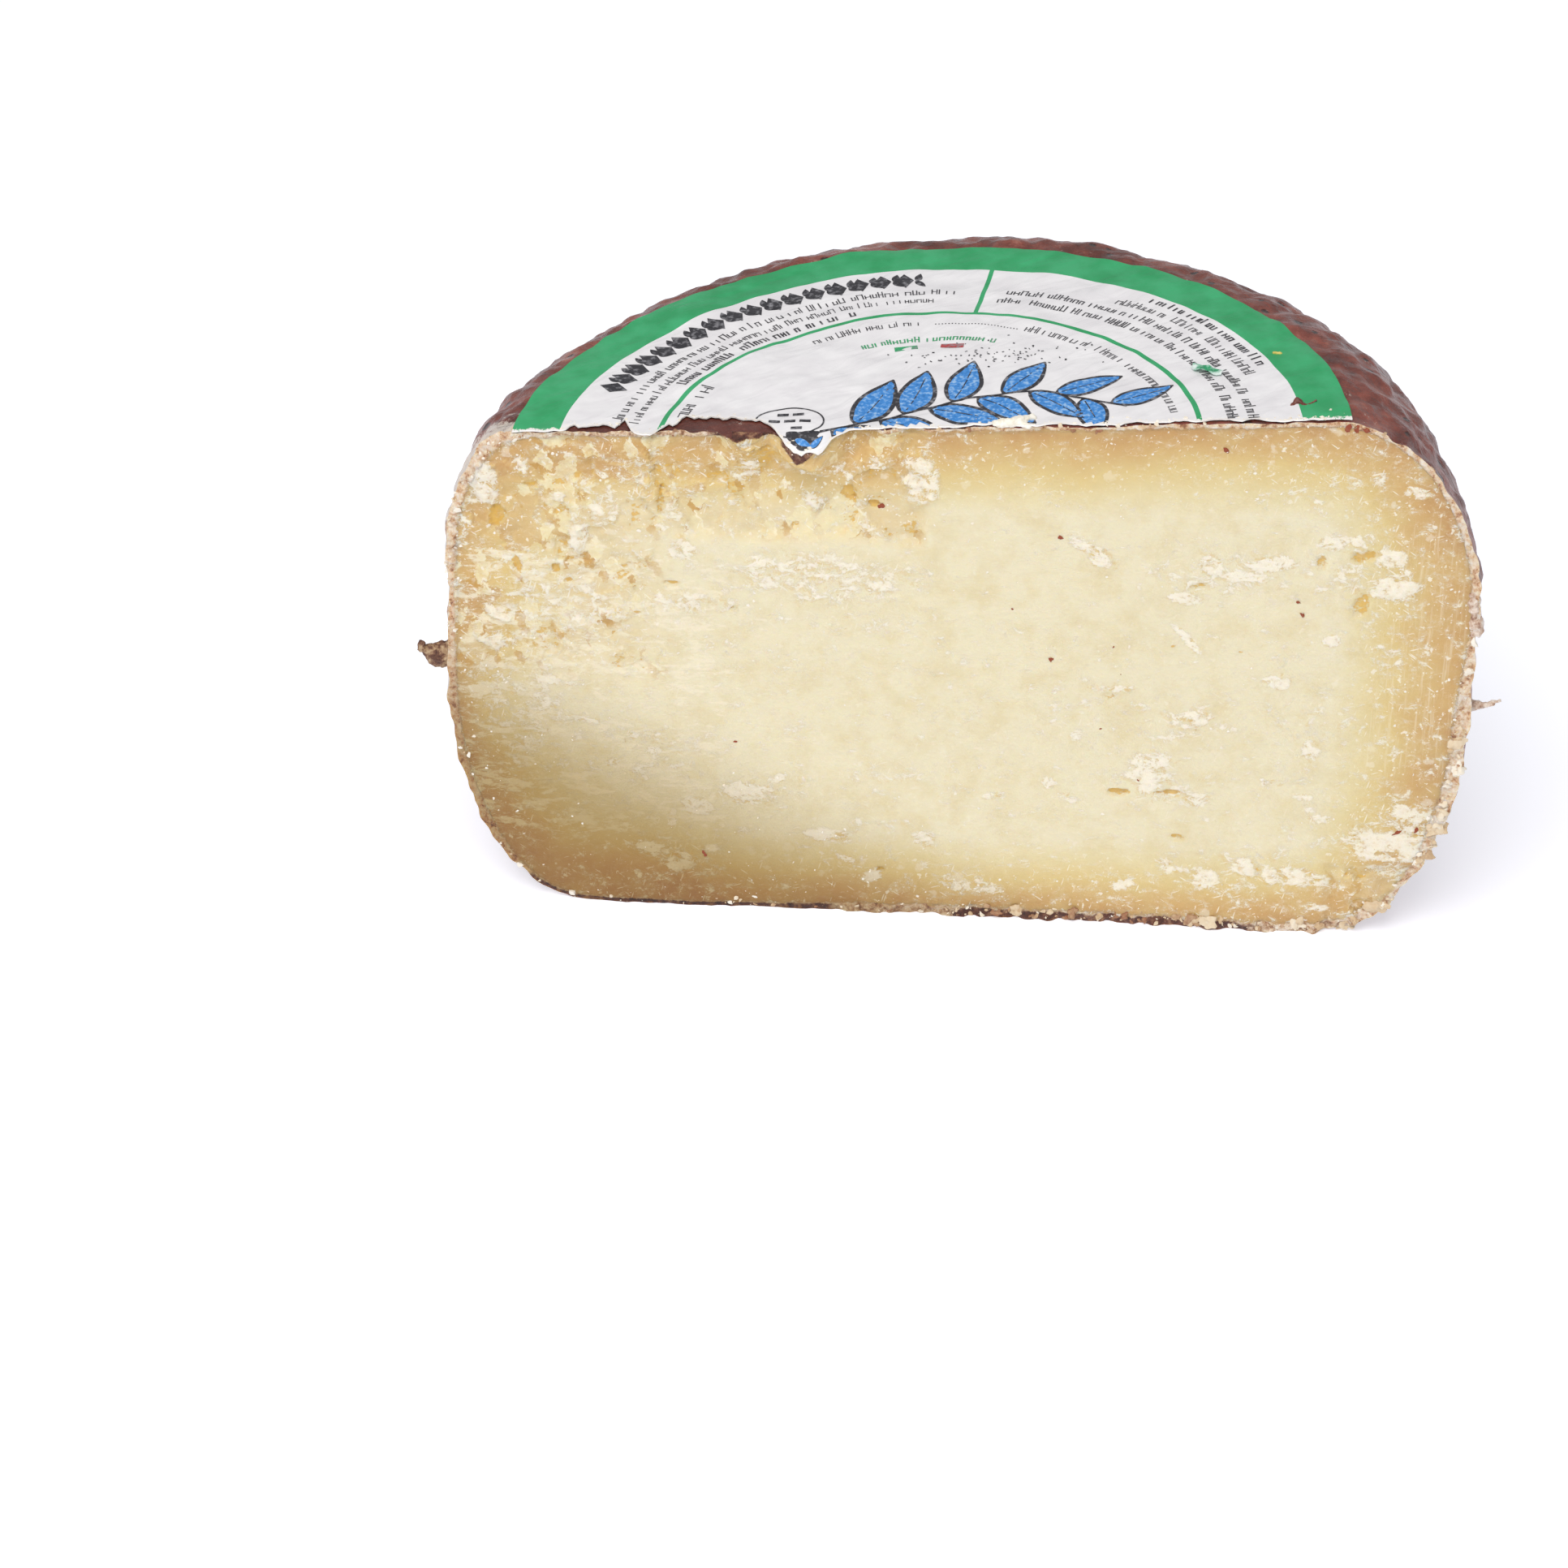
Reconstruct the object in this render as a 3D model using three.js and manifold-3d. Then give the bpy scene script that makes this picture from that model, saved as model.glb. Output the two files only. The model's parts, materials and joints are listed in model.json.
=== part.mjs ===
// Half a wheel of aged sheep's milk cheese with its round paper label.
// Millimetres, +Z up. The wheel stands on its flat bottom, cut in two by a knife along the XZ plane
// of its own frame, and the rind side is towards +Y. The origin is under the middle of its footprint.

import * as THREE from 'three';
import { mergeVertices } from 'three/addons/utils/BufferGeometryUtils.js';
import Module from 'manifold-3d';

const wasm = await Module();
wasm.setup();

// The wheel

const WHEEL_HEIGHT = 100.9;
const TOP_LEAN_RIGHT = 4.6;
const TOP_LEAN_BACK = -0.6;
const AXIS_BEFORE_CUT = 1.1;

// The form differs round the wheel: one value for each eighth of a turn from the right, over the back, to the left.
const STATION_ANGLE = Math.PI / 4;
const SIDE_RADIUS = [88.0, 87.5, 88.9, 88.9, 89.3];
const SHOULDER_WIDTH = [26.2, 24.7, 22.6, 20.3, 13.9];
const SHOULDER_HEIGHT = [38.8, 34.3, 31.3, 28.8, 26.4];
const FOOT_WIDTH = 23;
const FOOT_HEIGHT = 44;

// Steps of the mesh along the wheel's profile and round it

const TURN_STEPS = 140;
const DISC_STEPS = 3;
const CORNER_STEPS = 11;
const WALL_STEPS = 5;

// The rind is wavy from the cheese mould and pitted

const WAVE_HEIGHT = 0.55;
const WAVE_LENGTH = 17;
const PIT_DEPTH = 0.5;
const PIT_LENGTH = 8;

// The cut face: broken upper left, where the knife tore the crumbly paste, and smooth elsewhere

const BOW_HEIGHT = 0.5;
const BOW_LENGTH = 55;
const TORN_DEPTH = 1.6;
const TORN_LENGTH = 8;
const SHALLOW_DEPTH = 0.25;
const SHALLOW_LENGTH = 12;
const TORN_BANDS = [
  { x: [-100, -7], z: [78.5, 120], softness: 2.5 },
  { x: [-100, -53], z: [48, 120], softness: 14 },
];

// Raised flakes and sunken eyes of the cut face: middle, half sizes and lift towards the viewer

const FLAKES = [
  { x: -23.5, z: 71, width: 16, height: 5.5, lift: 0.8 },
  { x: -47, z: 64, width: 8, height: 2.6, lift: 0.7 },
  { x: -82, z: 86, width: 3, height: 4.4, lift: 1.5 },
  { x: -66, z: 75.5, width: 2, height: 2.6, lift: 1.2 },
  { x: -80.5, z: 60, width: 2.8, height: 1.6, lift: 1.2 },
  { x: -81, z: 54.5, width: 3.6, height: 1.8, lift: 1.2 },
  { x: -54, z: 88.5, width: 2.4, height: 6, lift: 1.3 },
  { x: -7.2, z: 91.5, width: 3.2, height: 5, lift: 1.4 },
  { x: -25, z: 85.3, width: 2.2, height: 2, lift: 1.2 },
  { x: -27.4, z: 95.5, width: 3, height: 4, lift: 1.4 },
  { x: 22.5, z: 78, width: 3.4, height: 3, lift: 0.8 },
  { x: 39, z: 75, width: 4.5, height: 3.6, lift: 0.7 },
  { x: 73.5, z: 72, width: 4.7, height: 3.2, lift: 1.0 },
  { x: 77.5, z: 20.5, width: 7, height: 3.8, lift: 0.9 },
  { x: 58, z: 12, width: 6, height: 3, lift: 0.7 },
  { x: -80, z: 79.4, width: 1.8, height: 2.4, lift: -1.4 },
  { x: -76.5, z: 70.3, width: 1.4, height: 2, lift: -1.2 },
  { x: -70, z: 69.8, width: 1.3, height: 1.4, lift: -1.2 },
  { x: -51.5, z: 84, width: 1.6, height: 3, lift: -1.3 },
  { x: -19.3, z: 86.7, width: 1.8, height: 2.2, lift: -1.6 },
  { x: -15.2, z: 85.3, width: 1.4, height: 1.6, lift: -1.3 },
  { x: 28.6, z: 28.8, width: 2.6, height: 1.2, lift: -1.1 },
  { x: 37, z: 28.9, width: 2.6, height: 1.2, lift: -1.1 },
  { x: 68.2, z: 78.5, width: 2.2, height: 1.5, lift: -1.0 },
];

// The knife: a block whose inner face is the cut, with a finer mesh where the paste is torn

const KNIFE_WIDTH = 230;
const KNIFE_HEIGHT = 130;
const KNIFE_DEPTH = 110;
const KNIFE_FLOOR = -8;
const KNIFE_COLUMNS = 84;
const KNIFE_ROWS = 46;
const FINE_SHARE = 0.3;

// Scraps of rind left on the side by the seam of the cheese mould: lumps that shrink from the root to the tip

const SCRAPS = [
  { root: [-88.5, 4, 50.6], tip: [-94.3, 2.4, 51.8], thickness: [3.2, 1.7] },
  { root: [88.9, 4, 49.1], tip: [92.8, 2, 50.4], thickness: [2.5, 1.4] },
];
const SCRAP_LUMPS = 3;
const SCRAP_SPREAD = 1.9;

// The label: a paper disc glued on the top before the wheel was cut

const LABEL_RADIUS = 71.8;
const LABEL_CENTRE = { x: -6.2, y: -5.2 };
const LABEL_GAP = 0.3;
const LABEL_THICKNESS = 0.4;
const LABEL_LOWEST = 60;
const LABEL_SEGMENTS = 48;
const LABEL_SETBACK = 0.6;
const LABEL_TEARS = [
  { from: -22, to: -31, depth: 0.1 },
  { from: -33, to: -51, depth: 4.3 },
  { from: -58, to: -67, depth: 2.2 },
];

// Where the wheel's axis and the knife's plane lie from the middle of the footprint

const AXIS_X = 0.9;
const CUT_PLANE_Y = -42.9;

const PASTE_COLOUR = 0xeee0bd;
const PAPER_COLOUR = 0xe8e9ee;

// Value noise, from -1 to 1

function latticeValue(i, j, k) {
  const wave = Math.sin(i * 127.1 + j * 311.7 + k * 74.7) * 43758.5453;
  return 2 * (wave - Math.floor(wave)) - 1;
}

function ease(t) {
  const u = THREE.MathUtils.clamp(t, 0, 1);
  return u * u * (3 - 2 * u);
}

function noise(x, y, z) {
  const cell = [Math.floor(x), Math.floor(y), Math.floor(z)];
  const part = [ease(x - cell[0]), ease(y - cell[1]), ease(z - cell[2])];
  let sum = 0;
  for (let corner = 0; corner < 8; corner += 1) {
    const di = corner & 1;
    const dj = (corner >> 1) & 1;
    const dk = (corner >> 2) & 1;
    const weight = (di ? part[0] : 1 - part[0]) * (dj ? part[1] : 1 - part[1]) * (dk ? part[2] : 1 - part[2]);
    sum += weight * latticeValue(cell[0] + di, cell[1] + dj, cell[2] + dk);
  }
  return sum;
}

// Solids

function toSolid(geometry) {
  const bare = geometry.clone();
  bare.deleteAttribute('normal');
  bare.deleteAttribute('uv');
  const merged = mergeVertices(bare, 1e-4);
  const corners = merged.index.array;
  const kept = [];
  for (let i = 0; i < corners.length; i += 3) {
    const [a, b, c] = corners.slice(i, i + 3);
    if (a !== b && b !== c && c !== a) kept.push(a, b, c);
  }
  const vertProperties = new Float32Array(merged.attributes.position.array);
  return new wasm.Manifold(new wasm.Mesh({ numProp: 3, vertProperties, triVerts: new Uint32Array(kept) }));
}

function toGeometry(solid) {
  const mesh = solid.getMesh();
  const geometry = new THREE.BufferGeometry();
  geometry.setAttribute('position', new THREE.BufferAttribute(mesh.vertProperties, 3));
  geometry.setIndex(new THREE.BufferAttribute(mesh.triVerts, 1));
  geometry.computeVertexNormals();
  return geometry;
}

// The wheel's form

function around(stations, angle) {
  const place = Math.abs(angle) / STATION_ANGLE;
  const first = Math.min(Math.floor(place), stations.length - 2);
  return THREE.MathUtils.lerp(stations[first], stations[first + 1], ease(place - first));
}

function topHeight(angle, share) {
  return WHEEL_HEIGHT + share * (TOP_LEAN_RIGHT * Math.cos(angle) + TOP_LEAN_BACK * Math.sin(angle));
}

function profileRows() {
  const rows = [];
  for (let i = 0; i < DISC_STEPS; i += 1) rows.push({ part: 'bottom', share: i / DISC_STEPS });
  for (let i = 0; i < CORNER_STEPS; i += 1) rows.push({ part: 'foot', share: i / CORNER_STEPS });
  for (let i = 0; i < WALL_STEPS; i += 1) rows.push({ part: 'wall', share: i / WALL_STEPS });
  for (let i = 0; i < CORNER_STEPS; i += 1) rows.push({ part: 'shoulder', share: i / CORNER_STEPS });
  for (let i = 0; i <= DISC_STEPS; i += 1) rows.push({ part: 'top', share: 1 - i / DISC_STEPS });
  return rows;
}

// Radius and height on the profile, for one row and one direction round the axis
function profilePoint(row, angle) {
  const radius = around(SIDE_RADIUS, angle);
  const width = around(SHOULDER_WIDTH, angle);
  const height = around(SHOULDER_HEIGHT, angle);
  const turn = row.share * Math.PI / 2;
  const shoulderFoot = topHeight(angle, 1) - height;
  if (row.part === 'bottom') return [row.share * (radius - FOOT_WIDTH), 0];
  if (row.part === 'foot') {
    return [radius - FOOT_WIDTH + FOOT_WIDTH * Math.sin(turn), FOOT_HEIGHT * (1 - Math.cos(turn))];
  }
  if (row.part === 'wall') return [radius, THREE.MathUtils.lerp(FOOT_HEIGHT, shoulderFoot, row.share)];
  if (row.part === 'shoulder') return [radius - width + width * Math.cos(turn), shoulderFoot + height * Math.sin(turn)];
  return [row.share * (radius - width), topHeight(angle, row.share)];
}

function rindRelief(x, y, z) {
  const wave = WAVE_HEIGHT * noise(x / WAVE_LENGTH, y / WAVE_LENGTH, z / WAVE_LENGTH);
  const pit = PIT_DEPTH * Math.min(0, noise(x / PIT_LENGTH, y / PIT_LENGTH, z / PIT_LENGTH + 9));
  return wave + pit;
}

function moveAlongNormals(geometry, distance) {
  geometry.computeVertexNormals();
  const place = geometry.attributes.position;
  const normal = geometry.attributes.normal;
  for (let i = 0; i < place.count; i += 1) {
    const step = distance(place.getX(i), place.getY(i), place.getZ(i));
    place.setXYZ(i, place.getX(i) + step * normal.getX(i), place.getY(i) + step * normal.getY(i),
      place.getZ(i) + step * normal.getZ(i));
  }
  geometry.deleteAttribute('normal');
}

// The whole wheel's skin, with its rows kept in the order in which the lathe turned them
function wheelSkin() {
  const rows = profileRows();
  const outline = rows.map((row) => new THREE.Vector2(...profilePoint(row, 0)));
  const lathe = new THREE.LatheGeometry(outline, TURN_STEPS);
  const place = lathe.attributes.position;
  for (let i = 0; i < place.count; i += 1) {
    const turned = (Math.floor(i / rows.length) / TURN_STEPS) * 2 * Math.PI;
    const angle = turned > Math.PI ? turned - 2 * Math.PI : turned;
    const [radius, height] = profilePoint(rows[i % rows.length], angle);
    const isPole = radius === 0;
    place.setXYZ(i, isPole ? 0 : radius * Math.cos(angle), isPole ? 0 : radius * Math.sin(angle), height);
  }
  lathe.deleteAttribute('normal');
  lathe.deleteAttribute('uv');
  const skin = mergeVertices(lathe, 1e-4);
  const rise = (z) => ease(z / 4);
  moveAlongNormals(skin, (x, y, z) => rise(z) * rindRelief(x, y, z));
  skin.translate(0, -AXIS_BEFORE_CUT, 0);
  return skin;
}

function swollen(skin, distance) {
  const copy = skin.clone();
  moveAlongNormals(copy, () => distance);
  return copy;
}

// The cut face's relief towards the viewer, at a place on the cut

function bandShare(band, x, z) {
  const inside = Math.min(x - band.x[0], band.x[1] - x, z - band.z[0], band.z[1] - z);
  return ease(inside / band.softness + 0.5);
}

function flakeShare(flake, x, z) {
  const reach = Math.hypot((x - flake.x) / flake.width, (z - flake.z) / flake.height);
  return ease(2 * (1.25 - reach));
}

function cutRelief(x, z) {
  const wobble = 2 * noise(x / 9, z / 9, 3);
  const torn = Math.max(...TORN_BANDS.map((band) => bandShare(band, x + wobble, z + wobble)));
  let relief = BOW_HEIGHT * noise(x / BOW_LENGTH, z / BOW_LENGTH, 0);
  relief += SHALLOW_DEPTH * noise(x / SHALLOW_LENGTH, z / SHALLOW_LENGTH, 5);
  relief -= torn * TORN_DEPTH * (0.6 + 0.5 * noise(x / TORN_LENGTH, z / TORN_LENGTH, 7));
  for (const flake of FLAKES) relief += flake.lift * flakeShare(flake, x, z);
  return relief;
}

// Evenly spread steps become denser towards the upper left, where the paste is torn
function denser(share, towards) {
  const push = FINE_SHARE * Math.sin(Math.PI * share) / Math.PI;
  return share + (towards === 'end' ? push : -push);
}

function knife() {
  const block = new THREE.BoxGeometry(KNIFE_WIDTH, KNIFE_DEPTH, KNIFE_HEIGHT, KNIFE_COLUMNS, 1, KNIFE_ROWS);
  const place = block.attributes.position;
  for (let i = 0; i < place.count; i += 1) {
    const across = denser(place.getX(i) / KNIFE_WIDTH + 0.5, 'start');
    const upward = denser(place.getZ(i) / KNIFE_HEIGHT + 0.5, 'end');
    const x = (across - 0.5) * KNIFE_WIDTH;
    const z = KNIFE_FLOOR + upward * KNIFE_HEIGHT;
    const isCut = place.getY(i) > 0;
    place.setXYZ(i, x, isCut ? -cutRelief(x, z) : -KNIFE_DEPTH, z);
  }
  return toSolid(block);
}

function scrapLump({ root, tip, thickness }, share) {
  const middle = new THREE.Vector3(...root).lerp(new THREE.Vector3(...tip), share);
  const half = THREE.MathUtils.lerp(thickness[0], thickness[1], share);
  const lump = new THREE.SphereGeometry(half, 10, 7);
  lump.scale(1, SCRAP_SPREAD, 1);
  lump.translate(middle.x, middle.y, middle.z);
  return toSolid(lump);
}

function scrap(place) {
  let lumps = scrapLump(place, 0);
  for (let i = 1; i < SCRAP_LUMPS; i += 1) lumps = lumps.add(scrapLump(place, i / (SCRAP_LUMPS - 1)));
  return lumps;
}

// The label's outline from above: its round edge, then the torn front edge from left to right
function labelOutline() {
  const { x, y } = LABEL_CENTRE;
  const drop = Math.asin((LABEL_SETBACK - y) / LABEL_RADIUS);
  const outline = new THREE.Shape();
  outline.absarc(x, y, LABEL_RADIUS, drop, Math.PI - drop, false);
  for (const tear of [...LABEL_TEARS].reverse()) {
    outline.lineTo(tear.to - 2, LABEL_SETBACK);
    outline.lineTo(tear.to, LABEL_SETBACK + 0.8 * tear.depth);
    outline.lineTo((tear.from + tear.to) / 2, LABEL_SETBACK + tear.depth);
    outline.lineTo(tear.from, LABEL_SETBACK + 0.5 * tear.depth);
  }
  outline.closePath();
  return outline;
}

function labelPrism() {
  const height = 2 * LABEL_LOWEST;
  const prism = new THREE.ExtrudeGeometry(labelOutline(), {
    depth: height, bevelEnabled: false, curveSegments: LABEL_SEGMENTS,
  });
  prism.translate(0, 0, LABEL_LOWEST);
  return toSolid(prism);
}

// The two pieces

function makeCheese(skin) {
  let wheel = toSolid(skin);
  for (const place of SCRAPS) wheel = wheel.add(scrap(place));
  const material = new THREE.MeshStandardMaterial({ color: PASTE_COLOUR, roughness: 0.6, metalness: 0 });
  const mesh = new THREE.Mesh(toGeometry(wheel.subtract(knife())), material);
  mesh.name = 'cheese';
  return mesh;
}

function makeLabel(skin) {
  const outer = toSolid(swollen(skin, LABEL_GAP + LABEL_THICKNESS));
  const inner = toSolid(swollen(skin, LABEL_GAP));
  const sheet = outer.subtract(inner).intersect(labelPrism());
  const material = new THREE.MeshStandardMaterial({ color: PAPER_COLOUR, roughness: 0.45, metalness: 0 });
  const mesh = new THREE.Mesh(toGeometry(sheet), material);
  mesh.name = 'label';
  return mesh;
}

const halfWheel = new THREE.Group();
const skin = wheelSkin();
halfWheel.add(makeCheese(skin));
halfWheel.add(makeLabel(skin));
halfWheel.position.set(AXIS_X, CUT_PLANE_Y, 0);

export default halfWheel;
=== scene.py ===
# %% [markdown]
# # Half a wheel of pecorino
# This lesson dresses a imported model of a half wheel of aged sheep's milk cheese. The model gives the size
# and the place of everything. Here it gets what the eye wants: a pitted brown rind, a cut face that is
# smooth where the knife slid and crumbly where the paste tore, and a creased paper label.

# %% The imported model
import json
import math
import random

import bmesh
import bpy
import numpy as np
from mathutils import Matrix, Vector
from mathutils.bvhtree import BVHTree

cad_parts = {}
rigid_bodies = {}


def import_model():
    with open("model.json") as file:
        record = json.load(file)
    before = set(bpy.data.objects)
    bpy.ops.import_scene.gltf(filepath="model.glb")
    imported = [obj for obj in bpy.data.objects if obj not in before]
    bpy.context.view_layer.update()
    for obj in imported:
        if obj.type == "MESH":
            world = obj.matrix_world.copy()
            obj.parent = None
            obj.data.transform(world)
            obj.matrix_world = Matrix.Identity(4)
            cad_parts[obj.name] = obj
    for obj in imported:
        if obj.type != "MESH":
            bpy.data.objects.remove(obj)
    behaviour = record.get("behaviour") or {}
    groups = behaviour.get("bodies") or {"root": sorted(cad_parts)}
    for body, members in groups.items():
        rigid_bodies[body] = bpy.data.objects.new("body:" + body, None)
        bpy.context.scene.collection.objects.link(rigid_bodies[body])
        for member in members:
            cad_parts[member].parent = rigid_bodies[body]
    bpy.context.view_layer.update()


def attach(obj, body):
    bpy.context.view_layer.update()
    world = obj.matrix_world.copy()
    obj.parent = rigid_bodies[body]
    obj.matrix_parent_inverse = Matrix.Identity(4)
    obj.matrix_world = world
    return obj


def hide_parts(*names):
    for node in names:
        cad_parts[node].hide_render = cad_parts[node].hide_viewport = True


for leftover in list(bpy.data.objects):
    bpy.data.objects.remove(leftover)
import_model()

# %% [markdown]
# ## Working in millimetres
# A cheese is measured in millimetres, Blender in metres. Sizes are written in millimetres here and turned
# to metres where a mesh is made. Operators act on all that is selected, so one small function makes a
# piece the only selected one, and another selects faces or edges by their place.

# %% Small tools for selecting and for moving vertices
MM = 0.001


def use(piece):
    bpy.ops.object.select_all(action="DESELECT")
    piece.select_set(True)
    bpy.context.view_layer.objects.active = piece


def edit(piece):
    use(piece)
    bpy.ops.object.mode_set(mode="EDIT")
    bpy.ops.mesh.select_all(action="DESELECT")


def leave_edit():
    bpy.ops.object.mode_set(mode="OBJECT")


def pick(piece, kind, test):
    bpy.ops.mesh.select_mode(type=kind)
    mesh = bmesh.from_edit_mesh(piece.data)
    items = {"VERT": mesh.verts, "EDGE": mesh.edges, "FACE": mesh.faces}[kind]
    for item in items:
        item.select = test(item)
    mesh.select_flush_mode()
    bmesh.update_edit_mesh(piece.data)


def modify(piece, kind, **settings):
    use(piece)
    modifier = piece.modifiers.new(kind.lower(), kind)
    for name, value in settings.items():
        setattr(modifier, name, value)
    bpy.ops.object.modifier_apply(modifier=modifier.name)


def places(piece):
    flat = np.empty(3 * len(piece.data.vertices))
    piece.data.vertices.foreach_get("co", flat)
    return flat.reshape(-1, 3) / MM


def put(piece, points):
    piece.data.vertices.foreach_set("co", (np.asarray(points) * MM).ravel())
    piece.data.update()


def copy_of(piece, name):
    use(piece)
    bpy.ops.object.duplicate()
    twin = bpy.context.object
    twin.name = name
    return twin


print("one millimetre is", MM, "Blender units")

# %% [markdown]
# ## Noise that repeats
# Torn paste, waves and crumbs look random, yet the lesson has to give the same cheese on every run.
# Value noise does that: each corner of a lattice gets a fixed number from its own indices, and the places
# between are blended. Chips are cells with a level and a tilt of their own, like broken curd.

# %% Value noise and chips
def ease(t):
    u = np.clip(t, 0, 1)
    return u * u * (3 - 2 * u)


def lattice(i, j, k):
    wave = np.sin(i * 127.1 + j * 311.7 + k * 74.7) * 43758.5453
    return 2 * (wave - np.floor(wave)) - 1


def noise(x, y, z=0.0):
    x, y, z = np.broadcast_arrays(x, y, z)
    cell = [np.floor(v) for v in (x, y, z)]
    part = [ease(v - c) for v, c in zip((x, y, z), cell)]
    total = np.zeros(x.shape)
    for di in (0, 1):
        for dj in (0, 1):
            for dk in (0, 1):
                weight = np.where(di, part[0], 1 - part[0])
                weight = weight * np.where(dj, part[1], 1 - part[1])
                weight = weight * np.where(dk, part[2], 1 - part[2])
                total += weight * lattice(cell[0] + di, cell[1] + dj, cell[2] + dk)
    return total


def rough(x, y, size, seed, octaves=3):
    total = np.zeros(np.shape(x))
    for octave in range(octaves):
        scale = 2**octave / size
        total += noise(x * scale, y * scale, seed + 17 * octave) / 2**octave
    return total


def chips(x, z, size, seed):
    warp = 0.25 * size
    x, z = x + warp * noise(x / size, z / size, seed + 5), z + warp * noise(x / size, z / size, seed + 6)
    column, row = np.floor(x / size), np.floor(z / size)
    nearest = np.full(x.shape, np.inf)
    level = np.zeros(x.shape)
    for i in (-1, 0, 1):
        for j in (-1, 0, 1):
            a, b = column + i, row + j
            px = (a + 0.5 + 0.4 * lattice(a, b, seed)) * size
            pz = (b + 0.5 + 0.4 * lattice(a, b, seed + 1)) * size
            away = np.hypot(x - px, z - pz)
            tilt = lattice(a, b, seed + 2) * (x - px) + lattice(a, b, seed + 3) * (z - pz)
            closer = away < nearest
            level = np.where(closer, lattice(a, b, seed + 4) + tilt / size, level)
            nearest = np.minimum(nearest, away)
    return level


print("the same place gives the same number:", noise(1.5, 2.5, 3.5) == noise(1.5, 2.5, 3.5))

# %% [markdown]
# ## The wheel
# The real wheel was drained in a round mould, turned and aged, so its rims are round and its top leans.
# A cylinder with widely bevelled rims is the mould. Its points are then drawn to the true form, which
# is told by a few sizes at each eighth of a turn. A sculpt by hand would do it too, but sizes can be checked.

# %% The true form of the wheel
AXIS_X = 0.9
CUT_Y = -42.9
AXIS_Y = CUT_Y - 1.1
WHEEL_HEIGHT = 100.9
LEAN_RIGHT = 4.6
LEAN_BACK = -0.6
STATION_ANGLE = math.pi / 4
SIDE_RADIUS = (88.0, 87.5, 88.9, 88.9, 89.3)
SHOULDER_WIDTH = (26.2, 24.7, 22.6, 20.3, 13.9)
SHOULDER_HEIGHT = (38.8, 34.3, 31.3, 28.8, 26.4)
FOOT_WIDTH = 23.0
FOOT_HEIGHT = 44.0
MOULD_RADIUS = 89.0
MOULD_HEIGHT = 100.0
MOULD_ROUND = 23.0


def around(stations, angle):
    place = np.abs(angle) / STATION_ANGLE
    first = np.minimum(place.astype(int), len(stations) - 2)
    values = np.array(stations)
    return values[first] + (values[first + 1] - values[first]) * ease(place - first)


def drawn_to_form(points):
    x, y, z = np.asarray(points, float).T
    flat = MOULD_RADIUS - MOULD_ROUND
    radius, angle = np.hypot(x, y), np.arctan2(y, x)
    share = np.clip(radius / flat, 0, 1)
    outward = np.clip((radius - flat) / MOULD_ROUND, 0, 1)
    foot = np.clip(z / MOULD_ROUND, 0, 1)
    wall = np.clip((z - MOULD_ROUND) / (MOULD_HEIGHT - 2 * MOULD_ROUND), 0, 1)
    shoulder = np.clip((z - MOULD_HEIGHT + MOULD_ROUND) / MOULD_ROUND, 0, 1)
    side = around(SIDE_RADIUS, angle)
    corner = np.where(z > MOULD_HEIGHT / 2, around(SHOULDER_WIDTH, angle), FOOT_WIDTH)
    lean = LEAN_RIGHT * np.cos(angle) + LEAN_BACK * np.sin(angle)
    wall_top = WHEEL_HEIGHT + lean - around(SHOULDER_HEIGHT, angle)
    new_radius = share * (side - corner) + outward * corner
    height = foot * FOOT_HEIGHT + wall * (wall_top - FOOT_HEIGHT)
    height = height + shoulder * (WHEEL_HEIGHT + share * lean - wall_top)
    return np.column_stack([AXIS_X + new_radius * np.cos(angle), AXIS_Y + new_radius * np.sin(angle), height])


print("wheel: radius", SIDE_RADIUS, "mm at each eighth of a turn, height", WHEEL_HEIGHT, "mm at its axis")

# %% The mould, with bevelled rims and rings on both ends
TURN_STEPS = 144
ROUND_STEPS = 14
END_RINGS = 3

middle_height = (0, 0, MOULD_HEIGHT / 2 * MM)
bpy.ops.mesh.primitive_cylinder_add(
    vertices=TURN_STEPS, radius=MOULD_RADIUS * MM, depth=MOULD_HEIGHT * MM, location=middle_height
)
wheel = bpy.context.object
wheel.name = "wheel"
bpy.ops.object.transform_apply(location=True, rotation=False, scale=False)
edit(wheel)
pick(wheel, "EDGE", lambda edge: abs(edge.verts[0].co.z - edge.verts[1].co.z) < MM)
bpy.ops.mesh.bevel(offset=MOULD_ROUND * MM, segments=ROUND_STEPS, affect="EDGES")
ring_step = (MOULD_RADIUS - MOULD_ROUND) / (END_RINGS + 1)
for ring in range(END_RINGS):
    pick(wheel, "FACE", lambda face: len(face.verts) == TURN_STEPS)
    bpy.ops.mesh.inset(thickness=ring_step * MM)
pick(wheel, "FACE", lambda face: len(face.verts) == TURN_STEPS)
bpy.ops.mesh.poke()
leave_edit()
put(wheel, drawn_to_form(places(wheel)))
print("wheel:", len(wheel.data.polygons), "faces")

# %% [markdown]
# ## Rind and core
# The rind is one to two and a half millimetres of dried, oiled and coloured skin round the paste, thickest
# where the wheel lay on its board. The wheel is copied and shrunk for the core. The outside is then remeshed
# into small even squares, so that waves from the mould's cloth and pits can be pushed into it with Displace
# modifiers, and the core is taken out of it.

# %% The core, and the waves and pits of the rind
THIN_RIND = 1.0
THICK_RIND = 2.4
SKIN_GRID = 0.9
LABEL_X, LABEL_Y = AXIS_X - 6.2, CUT_Y - 5.2
LABEL_RADIUS = 70.6
LABEL_LOWEST = 80.0
PRESSED_FLAT = 0.65
TIP_X = -26.7
TIP_HALF = 6.0
FOOT_CLEAR = 1.0
FOOT_FADE = 5.0
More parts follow.
